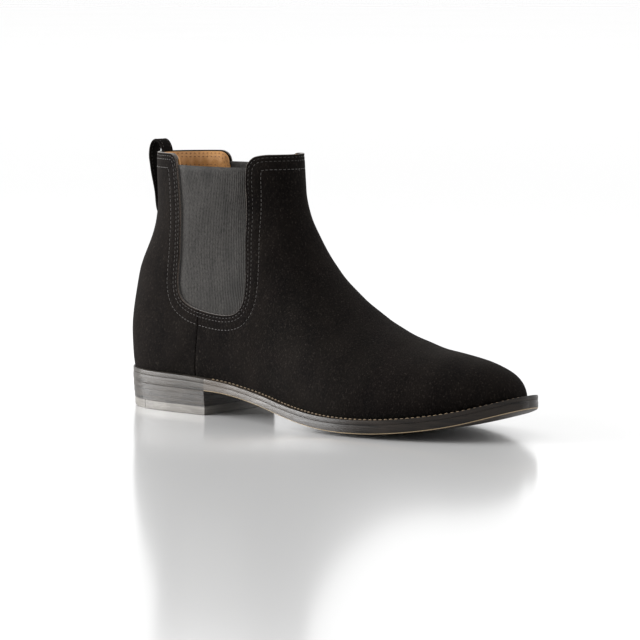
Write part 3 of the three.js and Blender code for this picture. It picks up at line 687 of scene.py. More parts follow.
def calf_lining():
    """Vegetable-tanned calf, drum-dyed tan: smooth, with a fine pebble grain and a dull shine."""
    material, tree, shader = new_material("Tan calf lining", {"Roughness": 0.52, "Specular IOR Level": 0.4})
    place = node(tree, "ShaderNodeTexCoord")
    # Grain cells 0.8 mm across, clouds of dye 18 mm across.
    cells = node(tree, "ShaderNodeTexVoronoi", {"Vector": (place, "Object"), "Scale": 1 / 0.0008},
                 feature="DISTANCE_TO_EDGE")
    clouds = node(tree, "ShaderNodeTexNoise", {"Vector": (place, "Object"), "Scale": 1 / 0.018, "Detail": 3,
                                               "Roughness": 0.55})
    dyed = node(tree, "ShaderNodeMapRange", {"Value": (clouds, 0), "From Min": 0.3, "From Max": 0.72})
    hide = node(tree, "ShaderNodeMix", {SHARE: (dyed, 0), FIRST: paint("lining_grain"),
                                        SECOND: paint("lining")}, data_type="RGBA")
    pebbled = node(tree, "ShaderNodeMapRange", {"Value": (cells, 0), "From Min": 0.0, "From Max": 0.12})
    grained = node(tree, "ShaderNodeMix", {SHARE: (pebbled, 0), FIRST: paint("lining_grain"),
                                           SECOND: (hide, MIXED)}, data_type="RGBA")
    tree.links.new(grained.outputs[MIXED], shader.inputs["Base Color"])
    pebbles = node(tree, "ShaderNodeBump", {"Height": (cells, 0), "Distance": 0.00012, "Strength": 0.5})
    tree.links.new(pebbles.outputs[0], shader.inputs["Normal"])
    return material


def burnished_edge(name, ink, rubbed, streak_height, roughness, shine, waist_highlight_span=None):
    """Leather edge, inked, waxed and ironed smooth: dark, glossy, with the layers' fibres as long streaks."""
    material, tree, shader = new_material(name, {"Roughness": roughness, "Specular IOR Level": shine})
    place = node(tree, "ShaderNodeTexCoord")
    # Streaks run along the sole for 40 mm or so and are as tall as a bundle of fibres.
    streak_length = 0.04
    drawn = node(tree, "ShaderNodeMapping", {"Vector": (place, "Object"),
                                             "Scale": (1, 1, streak_length / streak_height)})
    streaks = node(tree, "ShaderNodeTexNoise", {"Vector": (drawn, 0), "Scale": 1 / streak_length, "Detail": 5,
                                                "Roughness": 0.62, "Distortion": 0.3})
    # Rubbed places 22 mm long and a quarter as tall.
    low = node(tree, "ShaderNodeMapping", {"Vector": (place, "Object"), "Scale": (1, 1, 4)})
    rubs = node(tree, "ShaderNodeTexNoise", {"Vector": (low, 0), "Scale": 1 / 0.022, "Detail": 3,
                                             "Roughness": 0.6, "Distortion": 0.5})
    streaky = node(tree, "ShaderNodeMapRange", {"Value": (streaks, 0), "From Min": 0.38, "From Max": 0.70})
    inked = node(tree, "ShaderNodeMix", {SHARE: (streaky, 0), FIRST: paint(ink), SECOND: paint(rubbed)},
                 data_type="RGBA")
    thin = node(tree, "ShaderNodeMapRange", {"Value": (rubs, 0), "From Min": 0.40, "From Max": 0.74})
    worn = node(tree, "ShaderNodeMix", {SHARE: (thin, 0), FIRST: (inked, MIXED), SECOND: paint(rubbed)},
                data_type="RGBA")
    if waist_highlight_span:
        # Painted highlight: the edge is painted paler at the waist and fades into the darker ink toward the
        # forepart, for the light that the waist catches.
        start, stop = (row_point(x, 0)[0] for x in waist_highlight_span)
        axes = node(tree, "ShaderNodeSeparateXYZ", {0: (place, "Object")})
        forward = node(tree, "ShaderNodeMapRange", {"Value": (axes, 0), "From Min": start, "From Max": stop})
        worn = node(tree, "ShaderNodeMix", {SHARE: (forward, 0), FIRST: paint("waist_highlight"),
                                            SECOND: (worn, MIXED)}, data_type="RGBA")
    tree.links.new(worn.outputs[MIXED], shader.inputs["Base Color"])
    gloss = node(tree, "ShaderNodeMapRange", {"Value": (streaks, 0), "From Min": 0.3, "From Max": 0.75,
                                              "To Min": roughness - 0.08, "To Max": roughness + 0.18})
    tree.links.new(gloss.outputs[0], shader.inputs["Roughness"])
    ridges = node(tree, "ShaderNodeBump", {"Height": (streaks, 0), "Distance": 0.00022, "Strength": 0.5})
    tree.links.new(ridges.outputs[0], shader.inputs["Normal"])
    return material


def tread_leather():
    """Oak-bark sole bend, stained dark and buffed: even, with pores and scuffs from the buffing wheel."""
    material, tree, shader = new_material("Stained sole leather", {
        "Roughness": 0.5, "Specular IOR Level": 0.4})
    place = node(tree, "ShaderNodeTexCoord")
    # Pores 0.5 mm across, scuffs 3 mm wide and 25 mm long.
    pores = node(tree, "ShaderNodeTexNoise", {"Vector": (place, "Object"), "Scale": 1 / 0.0005, "Detail": 2,
                                              "Roughness": 0.6})
    drawn = node(tree, "ShaderNodeMapping", {"Vector": (place, "Object"), "Scale": (0.12, 1, 1)})
    scuffs = node(tree, "ShaderNodeTexNoise", {"Vector": (drawn, 0), "Scale": 1 / 0.003, "Detail": 3,
                                               "Roughness": 0.6})
    buffed = node(tree, "ShaderNodeMapRange", {"Value": (scuffs, 0), "From Min": 0.32, "From Max": 0.7})
    stain = node(tree, "ShaderNodeMix", {SHARE: (buffed, 0), FIRST: dimmed(paint("tread"), 0.5),
                                         SECOND: paint("tread")}, data_type="RGBA")
    tree.links.new(stain.outputs[MIXED], shader.inputs["Base Color"])
    pitted = node(tree, "ShaderNodeBump", {"Height": (pores, 0), "Distance": 0.0001, "Strength": 0.4})
    tree.links.new(pitted.outputs[0], shader.inputs["Normal"])
    return material


def bare_leather():
    """Sole bend where the edge iron has worn the ink off: pale, smooth and a little greasy."""
    material, tree, shader = new_material("Bare sole bend", {"Roughness": 0.45, "Specular IOR Level": 0.4})
    place = node(tree, "ShaderNodeTexCoord")
    # Fibre bundles 0.6 mm thick that lie along the sole.
    drawn = node(tree, "ShaderNodeMapping", {"Vector": (place, "Object"), "Scale": (0.3, 1, 1)})
    fibres = node(tree, "ShaderNodeTexNoise", {"Vector": (drawn, 0), "Scale": 1 / 0.0006, "Detail": 2,
                                               "Roughness": 0.6})
    pale = node(tree, "ShaderNodeMapRange", {"Value": (fibres, 0), "From Min": 0.3, "From Max": 0.6})
    shade = node(tree, "ShaderNodeMix", {SHARE: (pale, 0), FIRST: dimmed(paint("bare"), 0.6),
                                         SECOND: paint("bare")}, data_type="RGBA")
    tree.links.new(shade.outputs[MIXED], shader.inputs["Base Color"])
    fibrous = node(tree, "ShaderNodeBump", {"Height": (fibres, 0), "Distance": 0.0001, "Strength": 0.3})
    tree.links.new(fibrous.outputs[0], shader.inputs["Normal"])
    return material


def twisted_thread(name, tint, ply):
    """Twisted thread: matt polyester or waxed linen, with the twist showing as slanting plies."""
    material, tree, shader = new_material(name, {
        "Roughness": 0.7, "Specular IOR Level": 0.3, "Sheen Weight": 0.2})
    place = node(tree, "ShaderNodeTexCoord")
    # Plies of the twist, a thread's thickness apart.
    twist = node(tree, "ShaderNodeTexNoise", {"Vector": (place, "Object"), "Scale": 1 / ply, "Detail": 1,
                                              "Roughness": 0.4})
    proud = node(tree, "ShaderNodeMapRange", {"Value": (twist, 0), "From Min": 0.3, "From Max": 0.65})
    shade = node(tree, "ShaderNodeMix", {SHARE: (proud, 0), FIRST: dimmed(paint(tint), 0.45),
                                         SECOND: paint(tint)}, data_type="RGBA")
    tree.links.new(shade.outputs[MIXED], shader.inputs["Base Color"])
    plied = node(tree, "ShaderNodeBump", {"Height": (twist, 0), "Distance": 0.0001, "Strength": 0.5})
    tree.links.new(plied.outputs[0], shader.inputs["Normal"])
    return material


def moulded_rubber():
    """Vulcanised rubber, moulded: matt black, with a faint bloom and grit from the mould."""
    material, tree, shader = new_material("Moulded rubber", {"Roughness": 0.72, "Specular IOR Level": 0.35})
    place = node(tree, "ShaderNodeTexCoord")
    # Bloom in patches of 6 mm, mould grit of 0.4 mm.
    bloom = node(tree, "ShaderNodeTexNoise", {"Vector": (place, "Object"), "Scale": 1 / 0.006, "Detail": 3,
                                              "Roughness": 0.6})
    grit = node(tree, "ShaderNodeTexNoise", {"Vector": (place, "Object"), "Scale": 1 / 0.0004, "Detail": 2,
                                             "Roughness": 0.6})
    bloomed = node(tree, "ShaderNodeMapRange", {"Value": (bloom, 0), "From Min": 0.4, "From Max": 0.8})
    shade = node(tree, "ShaderNodeMix", {SHARE: (bloomed, 0), FIRST: paint("rubber"),
                                         SECOND: dimmed(paint("rubber"), 2.2)}, data_type="RGBA")
    tree.links.new(shade.outputs[MIXED], shader.inputs["Base Color"])
    gritty = node(tree, "ShaderNodeBump", {"Height": (grit, 0), "Distance": 0.0001, "Strength": 0.4})
    tree.links.new(gritty.outputs[0], shader.inputs["Normal"])
    return material


def hidden_finish(name, dark, pale, spot, stretch=(1, 1, 1), roughness=0.85, metallic=0.0):
    """Finish of a piece inside the boot: two shades in spots of the real size."""
    material, tree, shader = new_material(name, {"Roughness": roughness, "Metallic": metallic})
    place = node(tree, "ShaderNodeTexCoord")
    drawn = node(tree, "ShaderNodeMapping", {"Vector": (place, "Object"), "Scale": stretch})
    spots = node(tree, "ShaderNodeTexNoise", {"Vector": (drawn, 0), "Scale": 1 / spot, "Detail": 3,
                                              "Roughness": 0.6})
    spotted = node(tree, "ShaderNodeMapRange", {"Value": (spots, 0), "From Min": 0.3, "From Max": 0.7})
    shade = node(tree, "ShaderNodeMix", {SHARE: (spotted, 0), FIRST: linear(dark), SECOND: linear(pale)},
                 data_type="RGBA")
    tree.links.new(shade.outputs[MIXED], shader.inputs["Base Color"])
    raised = node(tree, "ShaderNodeBump", {"Height": (spots, 0), "Distance": spot * 0.3, "Strength": 0.4})
    tree.links.new(raised.outputs[0], shader.inputs["Normal"])
    return material


# How each finish is made: its function and what that function is given.
FINISHES = {
    "suede": (brushed_suede,),
    "cut_suede": (cut_suede,),
    "elastic": (ribbed_elastic,),
    "lining": (calf_lining,),
    # The sole edge is given the span in x over which its painted waist highlight fades into the ink.
    "sole_edge": (burnished_edge, "Burnished sole edge", "sole_edge", "sole_streak", 0.0011, 0.32, 0.2,
                  (95, 175)),
    "heel_edge": (burnished_edge, "Burnished heel lifts", "heel", "heel_streak", 0.0013, 0.34, 0.17),
    "top_piece": (burnished_edge, "Burnished top piece", "heel_streak", "top_piece_streak", 0.0016, 0.4, 0.3),
    "bare": (bare_leather,),
    "tread": (tread_leather,),
    "thread": (twisted_thread, "Polyester thread", "thread", 0.0005),
    "lining_thread": (twisted_thread, "Brown lining thread", "lining_thread", 0.0005),
    "welt_thread": (twisted_thread, "Waxed linen thread", "welt_thread", 0.0008),
    "rubber": (moulded_rubber,),
    # Cotton drill, woven in a twill: pale, with yarns 0.6 mm apart.
    "drill": (hidden_finish, "Cotton drill", "#a89c84", "#d6ccb6", 0.0006, (1, 1, 0.4), 0.95),
    # Stiffener pressed from fibre and resin: brown and mottled.
    "stiffener": (hidden_finish, "Pressed fibre stiffener", "#6d543b", "#96795a", 0.0015),
    # Insole shoulder leather, split and left raw.
    "board": (hidden_finish, "Raw shoulder leather", "#9c7548", "#c39a68", 0.002, (0.3, 1, 1)),
    # Cork granules bound with latex.
    "cork": (hidden_finish, "Granulated cork", "#5f4028", "#b98e5e", 0.0022, (1, 1, 1), 0.95),
    # Spring steel, rolled: streaks run along the strip.
    "steel": (hidden_finish, "Rolled spring steel", "#7d8083", "#b4b7ba", 0.0012, (0.05, 1, 1), 0.35, 1.0),
    # Brass wire nails, drawn and cut.
    "brass": (hidden_finish, "Drawn brass wire", "#8f6f36", "#c6a15a", 0.0008, (1, 1, 0.1), 0.35, 1.0),
}
made_finishes = {}


def finish(name):
    """The finish of that name, made when it is first asked for."""
    if name not in made_finishes:
        maker, *details = FINISHES[name]
        made_finishes[name] = maker(*details)
    return made_finishes[name]


# ---------------------------------------------------------------- corners of the shaft's joint
# The front corner of the gore's foot, the rear top corner of its window and the front's top, in side view.
GORE_FOOT = np.array([108.5, 70.0])
GORE_CORNER = np.array([50.0, 154.0])
FRONT_TOP = np.array([104.6, 154.0])


def row_point(x, z):
    """A point in the boot's middle plane, in the row's metres."""
    return tuple(to_row([[x, 0, z]])[0])


def bend_front(obj):
    """Bakes a piece of the front's place into its mesh."""
    middle = 138
    row_point(middle, GORE_FOOT[1])
    row_point(middle, FRONT_TOP[1])
    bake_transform(obj)


def bend_gore(obj):
    """Bakes the elastic's place into its mesh."""
    slant = GORE_CORNER - GORE_FOOT
    across = np.array([slant[1], -slant[0]]) / np.linalg.norm(slant)
    reach = (FRONT_TOP - GORE_FOOT) @ across
    end = GORE_FOOT + across * reach
    row_point(*GORE_FOOT)
    row_point(*end)
    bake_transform(obj)


# ---------------------------------------------------------------- suede, interlining and lining
def rounding(reach, radius):
    """How far a rounded edge lies below the face at a distance from the edge."""
    inside = np.clip(radius - reach, 0, radius)
    return radius - np.sqrt(np.maximum(radius ** 2 - inside ** 2, 0))


def skin(name, outline, sides, depth, thickness, spacing, materials, radius=0.0, dips=(), fold=0.0,
         back=False):
    """A skin of the upper, cut to an outline, rounded at its cut edges and pulled in at its stitch rows.

    The spacing is that of its points away from the edges, and back says that it ends at the back seam."""
    rings = []
    near = [0.1, 0.3, 0.7] if radius else []
    cuts = sorted(near + [d + s for d in dips for s in (-0.55, 0, 0.55)])
    for side in sides:
        for distance in cuts:
            rings.append(find_upper(moved_edge(EDGE, distance), side))
        for distance in near:
            shift = np.array([distance if not back else -distance, 0])
            rings.append(find_upper(SEAM[::2] + shift, side))
        if back:
            ts = np.linspace(10.6, MOUTH - 0.01, 220)
            nudge = 0.02
            run = np.linalg.norm(upper_point(ts, np.full(220, side * (np.pi - nudge)))
                                 - upper_point(ts, np.full(220, side * np.pi)), axis=1) / nudge
            for distance in near:
                rings.append(np.stack([ts, side * (np.pi - distance / run)], axis=1))
    flat_outline = divided(to_flat(outline), 1.0)
    closed = np.vstack([flat_outline, flat_outline[:1]])
    grid = hex_grid(flat_outline.min(0), flat_outline.max(0), spacing)
    grid = grid[inside_outline(grid, flat_outline)]
    grid = grid[distance_to_line(grid, closed) > 0.6 * spacing]
    if cuts:
        places = from_flat(grid)
        reach = distance_to_line(upper_point(*places.T)[:, [0, 2]], EDGE)
        grid = grid[(np.abs(reach[:, None] - np.array(cuts)) > 0.4 * spacing).all(1)]
    inner = [grid]
    if rings:
        ring_points = to_flat(np.vstack(rings))
        ring_points = ring_points[inside_outline(ring_points, flat_outline)]
        inner.append(ring_points[distance_to_line(ring_points, closed) > 0.07])
    flat_points, faces = triangulate(flat_outline, np.vstack(inner))
    places = from_flat(flat_points)
    face, out = upper_face(*places.T)
    side_view = upper_point(*places.T)[:, [0, 2]]
    reach = distance_to_line(side_view, EDGE)
    sunk = np.full(len(face), float(depth))
    under = np.full(len(face), float(depth + thickness))
    if radius:
        sunk += rounding(reach, radius)
        # A seam only runs from the sole to the gore, so it counts below the gore.
        seam_reach = distance_to_line(side_view, SEAM)
        sunk += np.where(side_view[:, 1] < SEAM_TOP, rounding(seam_reach, radius), 0)
        if back:
            middle = np.abs(places[:, 1]) > 2.6
            sunk += np.where(middle, rounding(np.abs(face[:, 1]), radius), 0)
    for row in dips:
        sunk += GROOVE_DEPTH * np.exp(-((reach - row) / GROOVE_WIDTH) ** 2)
    if fold:
        under += fold * smoothstep(1.4 - distance_to_line(side_view, TOP_EDGE) / 1.4)
    upper = face - out * sunk[:, None]
    lower = face - out * under[:, None]
    faces = facing(upper, faces, out)
    points, made, first_wall = shell(upper, lower, faces)
    slots = np.zeros(len(made), int)
    if len(materials) > 1:
        slots[first_wall:] = 1
        # The very rim shows the cut fibres too, and its paler finish is partly a painted highlight along the
        # rounded edge.
        if radius:
            slots[:len(faces)] = [int(reach[list(f)].mean() < 0.3) for f in faces]
    return new_piece(name, points, made, *materials, slots=slots)


def stitch_rows():
    """Distances of the stitch rows from the suede's cut edge."""
    return [size("first_row"), size("second_row"), size("outer_row")]


def make_front():
    """The suede front, one skin from the toe to the top of the shaft."""
    piece = skin("front_suede", front_outline(), (-1, 1), 0, size("suede"), 2.4,
                 [finish("suede"), finish("cut_suede")], size("edge_radius"), stitch_rows(), TURNED_TOP)
    bend_front(piece)
    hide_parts("vamp", "shaft_front")


def make_quarters():
    """The two suede quarters, which meet at the back seam."""
    for name, side in SIDES:
        piece = skin(f"quarter_suede_{name}", quarter_outline(side), (side,), 0, size("suede"), 2.2,
                     [finish("suede"), finish("cut_suede")], size("edge_radius"), stitch_rows(), TURNED_TOP,
                     back=True)
        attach(piece, "root")
        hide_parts(f"quarter_{name}")


def puff_floor(x):
    """The interlining stops at the toe puff."""
    return feather(x) + 8 * np.maximum(x - 232, 0)


def counter_floor(x):
    """The interlining stops above the heel counter."""
    return np.maximum(np.interp(x, [0, 32, 52, 62, 66], [73.5, 67, 53, 31, 22]), feather(x))


def make_linings():
    """Interlining and lining, layer under layer."""
    lining = [finish("lining"), finish("lining")]
    front = skin("front_interlining", front_outline(puff_floor, MIDDLE_DRAWN_IN), (), MIDDLE_DEPTH,
                 MIDDLE_THICKNESS, 5, [finish("drill")])
    bend_front(front)
    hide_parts("vamp_interlining", "shaft_front_interlining")
    inner = skin("front_lining", front_outline(lower=LINING_DRAWN_IN), (-1, 1), LINING_DEPTH,
                 LINING_THICKNESS, 4, lining)
    bend_front(inner)
    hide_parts("vamp_lining", "shaft_front_lining")
    for name, side in SIDES:
        cloth = skin(f"quarter_cloth_{name}", quarter_outline(side, counter_floor, MIDDLE_DRAWN_IN), (),
                     MIDDLE_DEPTH, MIDDLE_THICKNESS, 5, [finish("drill")])
        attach(cloth, "root")
        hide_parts(f"quarter_interlining_{name}")
        leather = skin(f"quarter_calf_{name}", quarter_outline(side, lower=LINING_DRAWN_IN), (side,),
                       LINING_DEPTH, LINING_THICKNESS, 4, lining)
        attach(leather, "root")
        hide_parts(f"quarter_lining_{name}")


# ---------------------------------------------------------------- elastic gores
def make_gores():
    """Elastic webbing behind the window: ribs from foot to top, and a plain selvedge along the top."""
    edge = smooth_line(GORE_EDGE, 0.5)
    lowest = int(np.argmin(edge[:, 1]))
    rear, front = edge[:lowest], edge[lowest:]
    rear = rear[rear[:, 1] > 78][::-1]
    front = front[front[:, 1] > 76]
    heights = np.linspace(57, GORE_TOP, 54)
    back_x = np.interp(heights, rear[:, 1], rear[:, 0]) - GORE_TUCK
    front_x = np.interp(heights, front[:, 1], front[:, 0]) + GORE_TUCK
    width = front_x.mean() - back_x.mean()
    ribs = int(round(width / size("rib_pitch")))
    across = np.linspace(0, 1, ribs * 5 + 1)
    wave = np.cos(2 * np.pi * across * ribs)
    x = back_x[:, None] + (front_x - back_x)[:, None] * across
    z = np.broadcast_to(heights[:, None], x.shape)
    flat = np.stack([x.ravel(), z.ravel()], axis=1)
    window = distance_to_line(flat, edge)
    # The window is closed off well above the top edge.
    in_window = inside_outline(flat, np.vstack([edge, [[104.6, 175], [50.2, 175]]]))
    swell = np.where(in_window, GORE_SWELL * smoothstep(window / 7), 0)
    selvedge = smoothstep((z - GORE_TOP + SELVEDGE) / 0.7).ravel()
    rib = np.broadcast_to(wave, x.shape).ravel() * size("rib_height") / 2
    rows, columns = x.shape
    index = np.arange(rows * columns).reshape(rows, columns)
    faces = [tuple(int(v) for v in (index[i, j], index[i, j + 1], index[i + 1, j + 1], index[i + 1, j]))
             for i in range(rows - 1) for j in range(columns - 1)]
    for name, side in SIDES:
        places = find_upper(flat, side)
        face, out = upper_face(*places.T)
        depth = MIDDLE_DEPTH - swell - rib * (1 - selvedge) - 0.18 * selvedge
        outer = face - out * depth[:, None]
        under = MIDDLE_DEPTH + MIDDLE_THICKNESS - swell * 0.8 + rib * (1 - selvedge) * 0.5
        inner = face - out * under[:, None]
        points, made, _ = shell(outer, inner, facing(outer, faces, out))
        piece = new_piece(f"gore_elastic_{name}", points, made, finish("elastic"))
        bend_gore(piece)
        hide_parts(f"gore_{name}")


# ---------------------------------------------------------------- stitches
def sewn(name, rows, pitch, thickness, fill, material):
    """Stitches along rows of (points, way out): each is a short cord that dips into the leather at its ends.

    Fill is the share of the pitch that a stitch takes up."""
    around, stations = 6, np.linspace(-1, 1, 7)
    radius = thickness / 2
    shape = np.sqrt(np.maximum(1 - np.abs(stations) ** 5, 0.02))
    dip = -1.3 * radius * np.abs(stations) ** 4
    angles = 2 * np.pi * np.arange(around) / around
    points, faces = [], []
    count = 0
    for line, out in rows:
        both = np.hstack([line, out])
        runs = np.concatenate([[0], np.cumsum(np.linalg.norm(np.diff(line, axis=0), axis=1))])
        marks = np.arange(pitch / 2, runs[-1], pitch)
        if len(marks) == 0:
            continue
        sample = np.stack([np.interp(marks, runs, column) for column in both.T], axis=1)
        ahead = np.stack([np.interp(marks + 0.3, runs, column) for column in line.T], axis=1)
        behind = np.stack([np.interp(marks - 0.3, runs, column) for column in line.T], axis=1)
        for centre, up, run in zip(sample[:, :3], sample[:, 3:], ahead - behind):
            run = run / max(np.linalg.norm(run), 1e-9)
            up = up - run * (up @ run)
            up = up / max(np.linalg.norm(up), 1e-9)
            across = np.cross(run, up)
            for s, thick, low in zip(stations, shape, dip):
                middle = centre + run * s * pitch * fill / 2 + up * (low + radius * 0.45)
                for angle in angles:
                    way = math.cos(angle) * across + math.sin(angle) * up
                    points.append(middle + radius * thick * way)
            for k in range(len(stations) - 1):
                for j in range(around):
                    a, b = count + k * around + j, count + k * around + (j + 1) % around
                    faces.append((a, a + around, b + around, b))
            faces.append(tuple(count + j for j in range(around)))
            faces.append(tuple(count + (len(stations) - 1) * around + j for j in range(around))[::-1])
            count += len(stations) * around
    return new_piece(name, np.array(points), faces, material)


def row_on_upper(line, side, depth, flip=False):
    """A side view line as points on the upper at a depth, with the way out of the leather."""
    places = find_upper(line, side)
    face, out = upper_face(*places.T)
    points = face - out * depth
    keep = np.concatenate([[True], np.linalg.norm(np.diff(points, axis=0), axis=1) > 1e-4])
    return points[keep], (-out if flip else out)[keep]


def evened(line):
    """A row smoothed where the edge it follows turns sharply."""
    line = resampled(line, 0.6)
    for _ in range(6):
        line[1:-1] = (line[:-2] + 2 * line[1:-1] + line[2:]) / 4
    return line


def split_rows(distances, side, depths, flip=False):
    """The rows of one side, parted at the side seam into the quarter's and the front's."""
    quarter, front = [], []
    for distance, depth in zip(distances, depths):
        line = evened(moved_edge(EDGE, distance))
        lowest = int(np.argmin(line[:, 1]))
        seam_x = np.interp(line[:, 1], SEAM[:, 1], SEAM[:, 0])
        behind = (np.arange(len(line)) < lowest) & (line[:, 0] < seam_x + 0.2)
        cut = int(np.nonzero(behind)[0][-1]) + 1
        quarter.append(row_on_upper(line[:cut], side, depth, flip))
        front.append(row_on_upper(line[cut:], side, depth, flip))
    return quarter, front


def make_stitching():
    """Lockstitch rows round the top edge and the gores, outside on the suede and inside on the lining."""
    pitch, thread = size("stitch_pitch"), size("thread")
    inner_depth = LINING_DEPTH + LINING_THICKNESS
    fronts, inner_fronts = [], []
    for name, side in SIDES:
        # The two rows by the edge are pulled deeper into the nap than the outer one.
        quarter, front = split_rows(stitch_rows(), side, (0.34, 0.3, 0.16))
        fronts += front
        piece = sewn(f"quarter_stitching_{name}", quarter, pitch, thread, 0.78, finish("thread"))
        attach(piece, "root")
        quarter, front = split_rows(stitch_rows(), side, (inner_depth,) * 3, True)
        inner_fronts += front
        piece = sewn(f"lining_stitching_{name}", quarter, pitch, thread, 0.5, finish("lining_thread"))
        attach(piece, "root")
    piece = sewn("front_stitching", fronts, pitch, thread, 0.78, finish("thread"))
    bend_front(piece)
    piece = sewn("front_lining_stitching", inner_fronts, pitch, thread, 0.5, finish("lining_thread"))
    bend_front(piece)


# ---------------------------------------------------------------- pull tab
def make_pull_tab():
    """One suede strap: sewn flat to the back seam at its foot, standing off in a loop, its other end between
    suede and lining. Its edges are turned, so it is thickest along them."""
    bend = {"start": row_point(BACK_TOP[0], TAB_BEND[0]), "end": row_point(BACK_TOP[0], TAB_BEND[1])}
    back = upper_point(np.linspace(12.9, MOUTH, 60), np.full(60, np.pi))[:, [0, 2]]
    foot_x = np.interp(TAB_FOOT, back[:, 1], back[:, 0])
    low_x = np.interp(TAB_FOOT - 4, back[:, 1], back[:, 0])
    face_gap = TAB_THICKNESS / 2 + 0.1
    middle = MIDDLE_DEPTH + 0.5
    # Bends of the loop, measured out behind the back's top corner and up from it.
    out_up = [(3.0, -35.5), (4.4, -25), (6.6, -15), (8.0, -7.6), (8.6, -3), (8.1, 1.6), (6.6, 5), (4.0, 6.7),
              (1.2, 6.1), (-0.9, 3.9), (-middle, 0.6), (-middle - 0.1, -3), (-middle, -TAB_INSERT)]
    path = [(low_x - face_gap, TAB_FOOT - 4), (foot_x - face_gap, TAB_FOOT)]
    path += [(BACK_TOP[0] - back_by, BACK_TOP[1] + up) for back_by, up in out_up]
    line = smooth_line(path, 0.9)
    run = np.gradient(line, axis=0)
    run /= np.linalg.norm(run, axis=1, keepdims=True)
    # Out of the loop: to the left of the way the strap is walked.
    out = np.stack([-run[:, 1], run[:, 0]], axis=1)
    half_width, half_thick = TAB_WIDTH / 2, TAB_THICKNESS / 2
    # Section of the strap: a rounded bar with a welted edge on either side and a dip at the stitches.
    half_across = np.array([0.4, 0.58, TAB_ROW, 0.74, 0.88, 0.97, 1])
    half_lift = np.array([0.84, 0.8, 0.62, 0.95, 0.95, 0.55, 0.1])
    across = np.concatenate([-half_across[::-1], [0], half_across])
    lift = np.concatenate([half_lift[::-1], [0.84], half_lift])
    ring = np.vstack([np.stack([across, lift], axis=1), np.stack([across[::-1], -lift[::-1]], axis=1)])
    # Where it is sewn down it follows the round of the back, 0.5 mm over half its width.
    hollow = 0.5 * smoothstep((BACK_TOP[1] - 12 - line[:, 1]) / 18) * (line[:, 0] < BACK_TOP[0])
    points = np.array([[line[i, 0] + out[i, 0] * v * half_thick + hollow[i] * u * u, u * half_width,
                        line[i, 1] + out[i, 1] * v * half_thick]
                       for i in range(len(line)) for u, v in ring])
    count = len(ring)
    faces = [(i * count + j, i * count + (j + 1) % count,
              (i + 1) * count + (j + 1) % count, (i + 1) * count + j)
             for i in range(len(line) - 1) for j in range(count)]
    faces.append(tuple(range(count))[::-1])
    faces.append(tuple((len(line) - 1) * count + j for j in range(count)))
    piece = new_piece("pull_tab_strap", points, faces, finish("suede"))
    normals_out(piece)
    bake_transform(piece)
    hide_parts("pull_tab_loop", "pull_tab_outer_leg", "pull_tab_inner_leg")
    rows = []
    free = line[line[:, 1] > TAB_FOOT - 2.5]
    stop = int(np.argmax(free[:, 0] > BACK_TOP[0] + middle - 0.3)) or len(free)
    groove = 0.66 * half_thick
    for u in (-TAB_ROW, TAB_ROW):
        for way in (1, -1):
            centre = np.stack([free[:stop, 0] + way * out[:stop, 0] * groove, np.full(stop, u * half_width),
                               free[:stop, 1] + way * out[:stop, 1] * groove], axis=1)
            normal = np.stack([way * out[:stop, 0], np.zeros(stop), way * out[:stop, 1]], axis=1)
            rows.append((centre, normal))
    stitches = sewn("pull_tab_stitching", rows, size("stitch_pitch") * 0.85, size("thread"), 0.7,
                    finish("thread"))
    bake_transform(stitches)


def normals_out(obj):
    """Turns the faces of a closed mesh outward."""
    mesh = bmesh.new()
    mesh.from_mesh(obj.data)
    bmesh.ops.recalc_face_normals(mesh, faces=mesh.faces)
    mesh.to_mesh(obj.data)
    mesh.free()


# ---------------------------------------------------------------- sole and heel
def sole_top(x):
    """Height of the welt's upper face."""
    return profile(SOLE_TOP, x)


def sole_under(x):
    """Height of the sole's lower edge."""
    return sole_top(x) - profile(SOLE_EDGE, x)


def cut_across(loop, low, high):
    """The part of an outline between two cuts square across the boot, closed along the cuts."""
    pieces = []
    count = len(loop)
    for i in range(count):
        a, b = loop[i], loop[(i + 1) % count]
        if low <= a[0] <= high:
            pieces.append(tuple(a))
        for cut in sorted((low, high), reverse=bool(a[0] > b[0])):
            if (a[0] - cut) * (b[0] - cut) < 0:
                share = (cut - a[0]) / (b[0] - a[0])
                pieces.append((cut, a[1] + share * (b[1] - a[1])))
    return np.array(pieces)


def slab(name, border, low, high, spacing, materials, belly):
    """A layer of the sole inside a border, between two heights, with walls that belly out.

    Its materials are those of the walls, the top and the under side, or one for all."""
    grid = hex_grid(border.min(0), border.max(0), spacing)
    grid = grid[inside_outline(grid, border)]
    grid = grid[distance_to_line(grid, np.vstack([border, border[:1]])) > 0.45 * spacing]
    flat, faces = triangulate(border, grid)
    top = np.column_stack([flat, high(*flat.T)])
    bottom = np.column_stack([flat, low(*flat.T)])
    run = np.roll(border, -1, axis=0) - np.roll(border, 1, axis=0)
    run /= np.maximum(np.linalg.norm(run, axis=1, keepdims=True), 1e-9)
    way = np.column_stack([run[:, 1], -run[:, 0], np.zeros(len(border))])
    out = np.zeros((len(flat), 3))
    for i, place in enumerate(flat):
        gap = np.abs(border - place).sum(1)
        if gap.min() < 1e-2:
            out[i] = way[int(gap.argmin())]
    straight = np.abs(out[:, 0]) > 0.999
    out[straight] = 0
    faces = facing(top, faces, np.tile([0.0, 0.0, 1.0], (len(flat), 1)))
    points, made, first_wall = shell(top, bottom, faces, 3, belly, out)
    slots = np.zeros(len(made), int)
    slots[:len(faces)] = 1 if len(materials) > 1 else 0
    slots[len(faces):first_wall] = len(materials) - 1
    return new_piece(name, points, made, *materials, slots=slots)


def ring_border(start, stop):
    """Border of a strip as wide as the welt that follows the sole's edge between two cuts."""
    outer, inner = cut_across(plan(), start, stop), cut_across(plan(WELT_WIDTH), start, stop)

    def opened(line):
        jump = np.linalg.norm(np.roll(line, -1, axis=0) - line, axis=1)
        return np.roll(line, -int(jump.argmax()) - 1, axis=0)
    return np.vstack([opened(outer), opened(inner)[::-1]])


